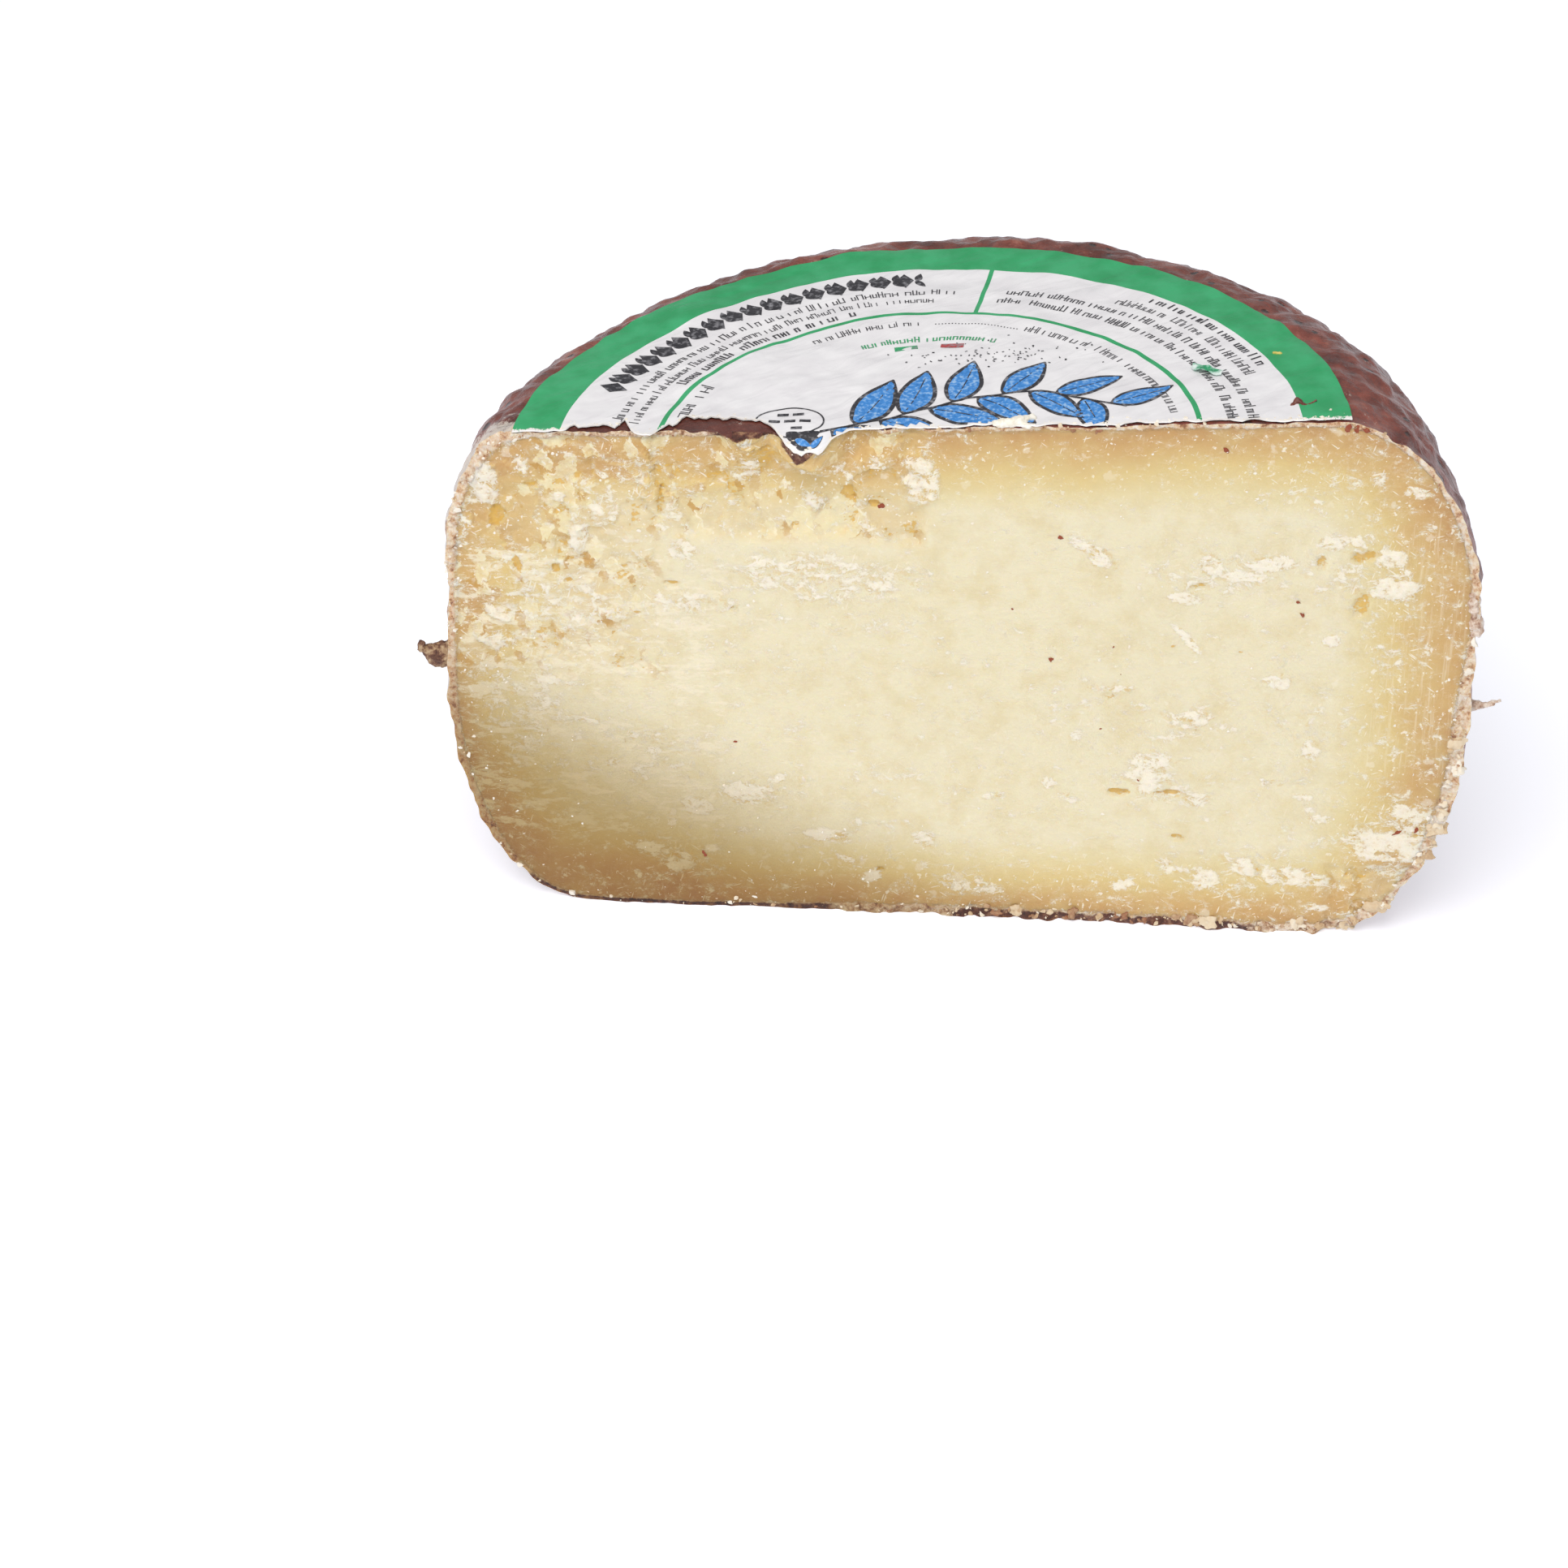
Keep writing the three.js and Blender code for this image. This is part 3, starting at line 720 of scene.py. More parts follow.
def stamped(name, model, marks, height, edge=None):
    """marks: x, y, turn in radians, and the stretch along and across, for each copy."""
    corners = places(model)
    faces = [face.vertices[:] for face in model.data.polygons]
    marks = np.array(marks)
    x, y, turn, wide, high = (marks[:, i, None] for i in range(5))
    across, up = corners[None, :, 0] * wide, corners[None, :, 1] * high
    x, y = x + across * np.cos(turn) - up * np.sin(turn), y + across * np.sin(turn) + up * np.cos(turn)
    lifted = np.column_stack([x.ravel(), y.ravel(), np.full(x.size, 2 * WHEEL_HEIGHT)])
    mesh = bpy.data.meshes.new(name)
    step = len(corners)
    all_faces = [[corner + step * copy for corner in face] for copy in range(len(marks)) for face in faces]
    mesh.from_pydata(lifted * MM, [], all_faces)
    if edge:
        mesh.polygons.foreach_set("material_index", edge * len(marks))
    piece = bpy.data.objects.new(name, mesh)
    bpy.context.scene.collection.objects.link(piece)
    modify(piece, "SHRINKWRAP", target=label, wrap_method="PROJECT", use_project_z=True,
           use_negative_direction=True, use_positive_direction=False, offset=height * MM)
    edit(piece)
    pick(piece, "VERT", lambda vert: vert.co.z > MISSED_PAPER * MM)
    bpy.ops.mesh.delete(type="VERT")
    leave_edit()
    modify(piece, "SOLIDIFY", thickness=INK_THICKNESS * MM, offset=1)
    print(name, len(marks), "marks")
    return piece


print("ink:", INK_THICKNESS, "mm thick,", INK_HEIGHT, "mm above the paper")

# %% Where the marks go: rows, a frieze, a leaf spray, an oval and a small bar
def polar(radius, degrees):
    angle = math.radians(degrees)
    return LABEL_X + radius * math.cos(angle), LABEL_Y + radius * math.sin(angle), angle - math.pi / 2


# Each one: radius, from and to which angle in degrees, height of its strokes, and their width.
SMALL_ROWS = (
    (52.6, 171, 86, 1.9, 0.22), (49.7, 171, 91, 1.7, 0.19), (47.0, 154, 108, 2.0, 0.32),
    (41.2, 121, 93, 1.8, 0.19), (42.0, 170, 152, 2.6, 0.24), (41.2, 69, 12, 1.9, 0.19),
    (60.0, 53, 24, 1.9, 0.34), (56.9, 58, 22, 1.9, 0.19), (53.6, 78, 7, 1.9, 0.24), (50.2, 79, 6, 1.9, 0.24),
)
GREEN_ROW = (35.6, 111, 74, 1.8, 0.26)
OVAL_X, OVAL_Y = LABEL_X - 23.5, LABEL_Y + 8.3
OVAL_LINES, OVAL_LINE_STEP, OVAL_WORD_STEP = 3, 2.3, 2.6
OVAL_WORD_LENGTH, OVAL_WORD_HEIGHT = 1.9, 0.8
random.seed(4)


def row_of_strokes(radius, start, stop, height, width):
    marks = []
    at = 0.0
    length = math.radians(start - stop) * radius
    letters_left = random.randint(3, 9)
    while at < length:
        letter = height * random.uniform(0.42, 0.62)
        tall = height * random.choice((0.66, 0.66, 0.66, 1.0))
        stems = random.choice((1, 2, 2))
        for stem in range(stems):
            place = at + stem * (letter - width)
            marks.append((*polar(radius + tall / 2, start - math.degrees(place / radius)), width, tall))
        if stems == 2:
            middle = at + (letter - width) / 2
            level = tall * random.choice((0.08, 0.5, 0.92))
            marks.append((*polar(radius + level, start - math.degrees(middle / radius)), letter, 0.7 * width))
        at += letter + 0.9 * width
        letters_left -= 1
        if letters_left == 0:
            at += 0.5 * height
            letters_left = random.randint(2, 9)
    return marks


dark_marks = []
for row in SMALL_ROWS:
    dark_marks += row_of_strokes(*row)
DOTS_RADIUS, DOTS_START, DOTS_STOP, DOT, DOTS = 41.4, 91, 71, 0.22, 26
for angle in np.linspace(DOTS_START, DOTS_STOP, DOTS):
    dark_marks.append((*polar(DOTS_RADIUS, angle), DOT, DOT))
for line in range(OVAL_LINES):
    for part in range(2 + line % 2):
        x = OVAL_X + OVAL_WORD_STEP * (part - 0.5 - 0.5 * (line % 2))
        y = OVAL_Y + OVAL_LINE_STEP * (1 - line)
        dark_marks.append((x, y, 0, OVAL_WORD_LENGTH, OVAL_WORD_HEIGHT))

FRIEZE_RADIUS = 58.2
FRIEZE_START, FRIEZE_STOP = 160, 97
FRIEZE_STEPS = 17
frieze_lozenges, frieze_leaves = [], []
for step in range(FRIEZE_STEPS):
    angle = FRIEZE_START + (FRIEZE_STOP - FRIEZE_START) * step / (FRIEZE_STEPS - 1)
    half_step = (FRIEZE_START - FRIEZE_STOP) / (FRIEZE_STEPS - 1) / 2
    frieze_lozenges.append((*polar(FRIEZE_RADIUS, angle), 1.6, 2.6))
    for side in (-1, 1):
        x, y, turn = polar(FRIEZE_RADIUS, angle - half_step)
        frieze_leaves.append((x, y, turn + side * math.radians(62), 0.24, 0.28))

SPRAY_STEM = ((-18.0, 5.0), (-6.0, 9.0), (6.0, 15.0), (19.0, 17.0), (33.0, 11.0))
STEM_STEPS = 46
stem_marks, leaf_marks, vein_marks = [], [], []


def on_stem(share):
    place = share * (len(SPRAY_STEM) - 1)
    xs, ys = zip(*SPRAY_STEM)
    spots = range(len(SPRAY_STEM))
    return LABEL_X + float(np.interp(place, spots, xs)), LABEL_Y + float(np.interp(place, spots, ys))


for step in range(STEM_STEPS):
    x, y = on_stem(step / STEM_STEPS)
    next_x, next_y = on_stem((step + 1) / STEM_STEPS)
    turn = math.atan2(next_y - y, next_x - x)
    stem_marks.append(((x + next_x) / 2, (y + next_y) / 2, turn, 1.4, 0.45))
LEAVES = 12
# On the torn tip. Each leaf: x from the tip, y from the cut, turn in radians and size.
TIP_LEAVES = ((-1.8, -1.6, -0.5, 0.3), (0.8, -3.0, 0.6, 0.26))
# Each blot: x from the tip, y from the cut, turn in radians, length and width.
TIP_BLOTS = ((-2.9, -1.2, -0.2, 0.52, 0.5), (-2.5, -2.2, 0.25, 0.48, 0.5), (-1.4, -3.1, 0.3, 0.33, 0.36),
             (-3.3, -0.4, -0.6, 0.34, 0.4))
for index in range(LEAVES):
    share = (index + 0.4) / LEAVES
    x, y = on_stem(share)
    next_x, next_y = on_stem(share + 0.03)
    side = 1 if index % 2 else -1
    size = 1.5 - 0.45 * share
    turn = math.atan2(next_y - y, next_x - x) + side * math.radians(44)
    leaf_marks.append((x, y, turn, size, side * size))
    for part in (0.2, 0.45, 0.7):
        reach = LEAF_LENGTH * size * part
        bow = side * size * 1.4 * part**2
        vein_x = x + reach * math.cos(turn) - bow * math.sin(turn)
        vein_y = y + reach * math.sin(turn) + bow * math.cos(turn)
        vein_marks.append((vein_x, vein_y, turn + side * 0.2 * part, 2.4 * size, 0.2))
for x, y, turn, size in TIP_LEAVES:
    leaf_marks.append((AXIS_X + TIP_X + x, CUT_Y + y, turn, size, size))
for x, y, turn, long, wide in TIP_BLOTS:
    frieze_leaves.append((AXIS_X + TIP_X + x, CUT_Y + y, turn, long, wide))
BERRIES = 90
berry_marks = []
for index in range(BERRIES):
    x, y = LABEL_X + random.gauss(10, 8), LABEL_Y + random.gauss(30, 2.0)
    berry_marks.append((x, y, random.uniform(0, 3), random.uniform(0.15, 0.5), random.uniform(0.12, 0.35)))
BAR_RADIUS, BAR_HEIGHT = 33.6, 1.3
BAR_START, BAR_STOP = 102.6, 82.2
BAR_PARTS = 3
part_turn = (BAR_START - BAR_STOP) / BAR_PARTS
part_length = math.radians(part_turn) * BAR_RADIUS
bar_marks = []
for part in range(BAR_PARTS):
    bar_marks.append((*polar(BAR_RADIUS, BAR_START - part_turn * (part + 0.5)), part_length, BAR_HEIGHT))

dark_print = stamped("print_dark", stroke, dark_marks, INK_HEIGHT)
frieze_print = stamped("print_frieze", lozenge, frieze_lozenges, INK_HEIGHT)
frieze_leaf_print = stamped("print_frieze_leaves", leaf, frieze_leaves, 0.5 * INK_HEIGHT, edge=leaf_edge)
leaf_print = stamped("print_leaves", leaf, leaf_marks, INK_HEIGHT, edge=leaf_edge)
line_print = stamped("print_lines", stroke, stem_marks + vein_marks + berry_marks, LINE_HEIGHT)
oval_print = stamped("print_oval", oval, [(OVAL_X, OVAL_Y, 0, 1, 1)], INK_HEIGHT)
green_print = stamped("print_green", stroke, row_of_strokes(*GREEN_ROW) + bar_marks[:1], INK_HEIGHT)
red_print = stamped("print_red", stroke, bar_marks[2:], INK_HEIGHT)
for model in (stroke, lozenge, leaf, oval):
    bpy.data.objects.remove(model)

# %% [markdown]
# ## Scraps of rind
# Where the two halves of the cheese mould met, the rind was squeezed out into a lip, and the knife left a
# curled scrap of it at each side. A curl of rind and two crumbs of paste fell on the label. Overlapping
# spheres along a short path are joined, remeshed to one skin and roughened.

# %% Lumps that grow into scraps
SCRAP_GRID = 0.3
LUMPS = 6
LUMP_SEGMENTS, LUMP_RINGS = 14, 8
BARK_SIZE = 0.9
# Each one: a root, a tip, and how thick it is at both. Their places are measured from the wheel's axis
# and from the cut.
SEAM_SCRAPS = (
    ((-87.6, 4.0, 49.6), (-91.6, 3.0, 49.3), 2.5, 1.8),
    ((-91.6, 3.0, 49.3), (-94.4, 2.2, 51.0), 1.5, 0.9),
    ((-94.4, 2.2, 51.0), (-94.2, 2.0, 52.2), 0.8, 0.5),
)
PALE_SCRAPS = (
    ((87.4, 3.0, 48.4), (90.6, 2.3, 49.0), 1.3, 0.7),
    ((90.6, 2.3, 49.0), (93.4, 2.0, 50.4), 0.6, 0.3),
    ((86.9, 0.6, 72.6), (88.0, 0.9, 65.4), 0.9, 1.4),
)
CURL = (
    ((54.0, 5.0, 104.8), (55.2, 6.2, 105.7), 0.35, 0.5),
    ((55.2, 6.2, 105.7), (56.8, 5.0, 105.0), 0.5, 0.4),
    ((56.8, 5.0, 105.0), (58.2, 6.0, 105.9), 0.45, 0.25),
)
YELLOW_CRUMB = (((51.4, 23.5, 104.9), (52.6, 23.4, 104.9), 0.3, 0.3),)
CHEESE_CRUMB = (
    ((5.2, 0.9, 101.9), (8.2, 1.1, 102.2), 0.7, 1.0),
    ((8.2, 1.1, 102.2), (11.2, 2.6, 102.4), 1.0, 0.6),
    ((9.4, 1.2, 102.0), (10.8, 0.4, 101.9), 0.7, 0.5),
)
bark = texture("bark", "CLOUDS", noise_scale=BARK_SIZE * MM, noise_depth=2)


def lump_chain(name, runs, roughness):
    bpy.ops.object.select_all(action="DESELECT")
    chain = []
    for root, tip, thick, thin in runs:
        for step in range(LUMPS):
            share = step / (LUMPS - 1)
            x, y, z = (a + (b - a) * share for a, b in zip(root, tip))
            radius = (thick + (thin - thick) * share) * (1 + 0.22 * lattice(step, 10 * thick, 7))
            middle = ((AXIS_X + x) * MM, (CUT_Y + y) * MM, z * MM)
            bpy.ops.mesh.primitive_uv_sphere_add(
                segments=LUMP_SEGMENTS, ring_count=LUMP_RINGS, radius=radius * MM, location=middle
            )
            chain.append(bpy.context.object)
    for lump in chain:
        lump.select_set(True)
    bpy.ops.object.join()
    bpy.ops.object.transform_apply(location=True, rotation=True, scale=True)
    whole = bpy.context.object
    whole.name = name
    whole.data.remesh_voxel_size = SCRAP_GRID * MM
    bpy.ops.object.voxel_remesh()
    modify(whole, "DISPLACE", texture=bark, strength=roughness * MM, mid_level=0.5)
    print(name, len(whole.data.polygons), "faces")
    return whole


scraps = lump_chain("rind_scraps", SEAM_SCRAPS, 0.8)
pale_scraps = lump_chain("pale_scraps", PALE_SCRAPS, 0.8)
curl = lump_chain("rind_curl", CURL, 0.4)
yellow_crumb = lump_chain("yellow_crumb", YELLOW_CRUMB, 0.2)
cheese_crumb = lump_chain("label_crumb", CHEESE_CRUMB, 0.7)

# %% A scrap of printed foil stuck on the label
FOIL_X, FOIL_Y = 46.3, 22.6
FOIL_LENGTH, FOIL_WIDTH = 5.6, 2.0
FOIL_TURN = math.radians(-24)
FOIL_GAP, FOIL_THICKNESS = 0.15, 0.08
foil = stamp("foil_scrap", 16, 6)
points = places(foil)
along, across = points[:, 0], points[:, 1]
width = FOIL_WIDTH * (1 - 1.2 * along**2) * (1 + 0.25 * noise(along * 9, 3.0))
crumple = 0.5 + 0.35 * noise(along * 5, across * 3) + 0.25 * np.cos(9 * along)
flat_x, flat_y = FOIL_LENGTH * along, width * across
x = LABEL_X + FOIL_X + flat_x * math.cos(FOIL_TURN) - flat_y * math.sin(FOIL_TURN)
y = LABEL_Y + FOIL_Y + flat_x * math.sin(FOIL_TURN) + flat_y * math.cos(FOIL_TURN)
put(foil, np.column_stack([x, y, np.full(len(x), 2.0 * WHEEL_HEIGHT)]))
modify(foil, "SHRINKWRAP", target=label, wrap_method="PROJECT", use_project_z=True,
       use_negative_direction=True, use_positive_direction=False, offset=FOIL_GAP * MM)
points = places(foil)
points[:, 2] += np.maximum(0, crumple)
put(foil, points)
modify(foil, "SOLIDIFY", thickness=FOIL_THICKNESS * MM, offset=1)
print("foil scrap:", len(foil.data.polygons), "faces")

# %% [markdown]
# ## Crumbs
# Aged paste sheds crumbs when it is cut, most of them at the rind, where it is driest. There are hundreds,
# so each has only twenty faces: one ico sphere is copied by arithmetic, and every copy gets its own size,
# turn and knobbly form. A tone for each crumb is kept with its points, for the colour. The few larger
# lumps of crust at the lower right get more faces.

# %% Many crumbs from one
random_draw = np.random.default_rng(20)
BOARD_GAP = 0.05
KNOB_SIZE = 1.4


def crumb_heap(name, middles, sizes, tones, flatness=0.7, fineness=1, knobs=0.7, length=1.0):
    bpy.ops.mesh.primitive_ico_sphere_add(subdivisions=fineness, radius=1 * MM)
    model = bpy.context.object
    corners = places(model)
    faces = np.array([face.vertices[:] for face in model.data.polygons])
    bpy.data.objects.remove(model)
    count = len(middles)
    shift = 40 * random_draw.random((count, 1))
    across, deep, up = (KNOB_SIZE * corners[None, :, axis] for axis in range(3))
    lump = noise(across + shift, deep, up + shift)
    knobbly = 1 + knobs * lump[..., None] + 0.4 * knobs * (random_draw.random((count, len(corners), 1)) - 0.5)
    turns = random_draw.random(count) * math.tau
    stretch = 0.55 + 0.9 * random_draw.random((count, 1, 3))
    shapes = corners[None] * knobbly * stretch * np.asarray(sizes)[:, None, None] * (length, 1, 1)
    x = shapes[..., 0] * np.cos(turns)[:, None] - shapes[..., 2] * np.sin(turns)[:, None]
    z = shapes[..., 0] * np.sin(turns)[:, None] + shapes[..., 2] * np.cos(turns)[:, None]
    shapes = np.stack([x, shapes[..., 1] * flatness, z], axis=-1) + np.asarray(middles)[:, None]
    below = np.minimum(0, shapes[..., 2].min(axis=1) - BOARD_GAP)
    shapes[..., 2] -= below[:, None]
    all_faces = faces[None] + len(corners) * np.arange(count)[:, None, None]
    mesh = bpy.data.meshes.new(name)
    mesh.from_pydata(shapes.reshape(-1, 3) * MM, [], all_faces.reshape(-1, 3).tolist())
    mesh.attributes.new("tone", "FLOAT", "POINT").data.foreach_set("value", np.repeat(tones, len(corners)))
    heap = bpy.data.objects.new(name, mesh)
    bpy.context.scene.collection.objects.link(heap)
    print(name, count, "crumbs")
    return heap


def on_the_cut(x, z, sink=0.0):
    return np.column_stack([AXIS_X + x, CUT_Y - cut_lift(x, z) + sink, z])


def edge_places(count, spread):
    """Places near the outline of the cut, more of them where the crust is thick."""
    spans = np.roll(OUTLINE, -1, axis=0) - OUTLINE
    lengths = np.hypot(*spans.T)
    middles = OUTLINE + spans / 2
    crust = crust_width(*middles.T)
    first = random_draw.choice(len(spans), count, p=lengths * crust / (lengths * crust).sum())
    along = OUTLINE[first] + spans[first] * random_draw.random((count, 1))
    inward = np.column_stack([-spans[first, 1], spans[first, 0]]) / lengths[first, None]
    shift = crust[first] * np.maximum(0.12, 0.5 + spread * random_draw.normal(size=count))
    return along + inward * shift[:, None], crust[first]


print("crumbs stay", BOARD_GAP, "mm above the board")

# %% Crumbs on the rim, lumps of crust, and crumbs on the paste
RIM_CRUMBS = 1300
CRUST_LUMPS = 90
PASTE_CRUMBS = 1500
DARKEST_TONE = 0.14
# Width and height of the part of the cut where a crumb of paste is tried, and its lower left corner.
TRIES, TRIED_SIZE, TRIED_CORNER = 14, (176, 100), (-88, 2)
TIP_SHADOW_HALF, TIP_SHADOW_FROM = 8, 88
spots, crust = edge_places(RIM_CRUMBS, 0.4)
under_tip = (np.abs(spots[:, 0] - TIP_X) < TIP_SHADOW_HALF) & (spots[:, 1] > TIP_SHADOW_FROM)
spots = spots[random_draw.random(RIM_CRUMBS) < 0.7 * crumbly(*spots.T) * ~under_tip]
sizes = 0.12 + 0.45 * random_draw.random(len(spots)) ** 3
brown_share = 0.4 * ease((6 - spots[:, 1]) / 3) + 0.35 * ease((spots[:, 1] - 92) / 4)
tones = 0.35 + 0.65 * random_draw.random(len(spots)) - 1.2 * brown_share * random_draw.random(len(spots))
tones = np.maximum(DARKEST_TONE, tones)
rim_crumbs = crumb_heap("rim_crumbs", on_the_cut(*spots.T, 0.1), sizes, tones)

spots, crust = edge_places(3 * CRUST_LUMPS, 0.22)
spots, crust = (values[(crust > 1.5) & (spots[:, 0] > 5)][:CRUST_LUMPS] for values in (spots, crust))
sizes = crust * (0.25 + 0.35 * random_draw.random(len(spots)) ** 2)
brown_share = 0.3 * ease((6 - spots[:, 1]) / 3) * ease((50 - spots[:, 0]) / 8)
tones = np.maximum(DARKEST_TONE, 0.3 + 0.5 * random_draw.random(len(spots)) - brown_share)
crust_lumps = crumb_heap("crust_lumps", on_the_cut(*spots.T, 0.35), sizes, tones,
                         flatness=0.6, fineness=3, knobs=1.0)

tries = random_draw.random((TRIES * PASTE_CRUMBS, 2)) * TRIED_SIZE + TRIED_CORNER
reach = rim_distance(*tries.T)
wanted = 0.5 * np.exp(-np.abs(reach) / 7) + 0.05 + 0.25 * torn_share(*tries.T) + cut_face(*tries.T)[1]
in_shade = ease((-20 - tries[:, 0]) / 30) * ease((40 - tries[:, 1]) / 20)
wanted = wanted * (reach > 1.6) * (1 - 0.7 * in_shade)
kept = tries[random_draw.random(len(tries)) < 0.3 * wanted][:PASTE_CRUMBS]
sizes = 0.07 + 0.22 * random_draw.random(len(kept)) ** 3
tones = 0.7 + 0.3 * random_draw.random(len(kept))
paste_crumbs = crumb_heap("paste_crumbs", on_the_cut(*kept.T), sizes, tones, flatness=0.5)

# %% Specks of rind on the paste, and dust on the label
# Each one: x and z of its middle, and its size.
RIND_SPECKS = (
    (43.7, 99.1, 0.55), (16.7, 80.7, 0.28), (57.6, 69.5, 0.3), (58.5, 67.0, 0.3), (15.9, 56.1, 0.34),
    (-13.8, 84.8, 0.45), (-44.7, 11.6, 0.5), (77.8, 22.9, 0.5), (81.2, 23.6, 0.4), (63.6, 104.3, 0.5),
    (65.2, 104.2, 0.5), (25.0, 42.0, 0.14), (26.5, 59.0, 0.16), (28.0, 53.5, 0.12), (32.0, 31.5, 0.16),
    (-39.0, 35.6, 0.2), (9.0, 66.0, 0.14), (66.8, 104.0, 0.45),
)
x, z, sizes = np.array(RIND_SPECKS).T
rind_specks = crumb_heap("rind_specks", on_the_cut(x, z), sizes, 0.0 * sizes,
                         flatness=0.4, fineness=2, knobs=0.9, length=1.4)

EDGE_DUST = 260
DUST_LEFT, DUST_RIGHT = -72, 66
HIGH_ABOVE = 0.2
DOWN = Vector((0, 0, -1))
x = random_draw.uniform(DUST_LEFT, DUST_RIGHT, EDGE_DUST)
y = CUT_Y + LABEL_SETBACK + front_tear(x) + 0.15 + 0.5 * np.abs(random_draw.normal(size=EDGE_DUST)) ** 1.5
corners = [vert.co[:] for vert in label.data.vertices]
paper_faces = BVHTree.FromPolygons(corners, [face.vertices[:] for face in label.data.polygons])
starts = [Vector(((AXIS_X + a) * MM, b * MM, HIGH_ABOVE)) for a, b in zip(x, y)]
tops = [paper_faces.ray_cast(start, DOWN)[0] for start in starts]
middles = np.array([tuple(top) for top in tops if top]) / MM
sizes = 0.08 + 0.3 * random_draw.random(len(middles)) ** 3
tones = 0.7 + 0.3 * random_draw.random(len(middles))
edge_dust = crumb_heap("edge_dust", middles, sizes, tones, flatness=0.4)

# %% [markdown]
# ## Finishes
# Colours are written as the eye names them on a screen, sRGB hex, and one function turns them to the linear
# numbers that light adds up in. One more function adds a node with its settings and its links.

# %% Colours and nodes
def linear(colour):
    channels = [int(colour[i : i + 2], 16) / 255 for i in (0, 2, 4)]
    return [c / 12.92 if c <= 0.04045 else ((c + 0.055) / 1.055) ** 2.4 for c in channels] + [1.0]


def finish(name, roughness, **sockets):
    material = bpy.data.materials.new(name)
    material.use_nodes = True
    shader = material.node_tree.nodes["Principled BSDF"]
    shader.inputs["Roughness"].default_value = roughness
    for socket, value in sockets.items():
        shader.inputs[socket.replace("_", " ")].default_value = value
    return material, shader


def add(tree, kind, inputs=None, stops=None, **settings):
    made = tree.nodes.new("ShaderNode" + kind)
    for name, value in settings.items():
        setattr(made, name, value)
    for key, value in (inputs or {}).items():
        if isinstance(value, bpy.types.NodeSocket):
            tree.links.new(value, made.inputs[key])
        else:
            made.inputs[key].default_value = value
    if stops:
        band = made.color_ramp.elements
        while len(band) < len(stops):
            band.new(1)
        for element, (place, colour) in zip(band, stops):
            element.position = place
            element.color = linear(colour)
    return made


def millimetres(tree):
    place = add(tree, "TexCoord").outputs["Object"]
    return add(tree, "VectorMath", {0: place, 1: (1000, 1000, 1000)}, operation="MULTIPLY").outputs[0]


def spots_in_cells(tree, vector, scale, largest, lack, distance="EUCLIDEAN"):
    """How far inside the spot of its own cell each place lies. Every cell has its own luck."""
    cells = add(tree, "TexVoronoi", {"Vector": vector, "Scale": scale}, distance=distance)
    luck = add(tree, "SeparateColor", {"Color": cells.outputs["Color"]}).outputs[0]
    reach = add(tree, "Math", {0: luck, 1: largest, 2: -lack}, operation="MULTIPLY_ADD").outputs[0]
    return add(tree, "Math", {0: reach, 1: cells.outputs["Distance"]}, operation="SUBTRACT").outputs[0]


def wear(piece, *materials):
    while piece.data.materials:
        piece.data.materials.pop()
    for material in materials:
        piece.data.materials.append(material)


print("screen white and middle grey as light:", linear("FFFFFF")[0], round(linear("808080")[0], 3))

# %% [markdown]
# ## Paste and the section of the rind
# Sheep's milk paste is pale cream in the middle. It dries from the outside, so towards the rind it turns
# golden and clearer, and the rind itself shows a pale, crumbly section. The knife scuffed it: ragged white
# scuffs lie all over, from crumbs to flakes, with deeper gold in the hollows between them. Part of that gold
# is painted shadow beside flakes and shards, and painted shade also darkens the lower left of the cut, while
# painted light warms steep sides and picks out shard edges. How near the rind, how scuffed, flaked and lit,
# hollow and shaded each place is, is kept with the points of the mesh. The shader adds what is finer than the
# mesh.

# %% What the points of the cut know
# Each one: x and z of a scuffed region, its half width and half height, and how scuffed it is.
SCUFFED = (
    (-76, 40, 11, 14, 0.7), (-54, 32, 17, 9, 0.5), (-72, 62, 14, 14, 0.6), (-35, 24, 14, 7, 0.45),
    (-50, 10, 11, 6, 0.6), (22, 45, 12, 12, 0.35), (46, 74, 15, 7, 0.6), (67, 78, 11, 10, 0.6),
    (60, 93, 16, 8, 0.4), (40, 44, 13, 7, 0.5), (62, 44, 13, 13, 0.45), (35, 30, 11, 6, 0.7),
    (52, 12, 20, 8, 0.5), (78, 22, 9, 9, 0.8), (0, 7, 12, 5, 0.5), (-16, 18, 14, 8, 0.35),
    (-50, 88, 34, 12, 0.36), (-20, 64, 22, 8, 0.4), (75, 60, 9, 12, 0.5), (-12, 31, 10, 5, 0.45),
)
PLAIN_SCUFF = 0.22
# The cleanest patch of the cut: x and z of its middle, its half width and half height.
CLEAN_PATCH = (18, 86, 30, 26)
SIDE_BAND, RIGHT_BAND, LEFT_BAND, FOOT_BAND = 6.0, 9.0, 5.0, 4.0
TOP_BAND, TORN_BAND, SHADE_BAND = 3.7, 4.5, 7.0
TAN_X, TAN_HALF = -10.5, 9.0
TEAR_X, TEAR_HALF = -37, 5
BENT_X, BENT_Z = TIP_X - 1.2, 97.0
STEP = 0.4


def patch(x, z, middle_x, middle_z, half_x, half_z):
    """All in the middle of an oval, and less and less away from it."""
    return np.exp(-(((x - middle_x) / half_x) ** 2) - ((z - middle_z) / half_z) ** 2)


def scuff_share(x, z):
    total = PLAIN_SCUFF * (1 - 0.8 * patch(x, z, *CLEAN_PATCH))
    for *oval_patch, amount in SCUFFED:
        total = np.maximum(total, amount * patch(x, z, *oval_patch))
    return total


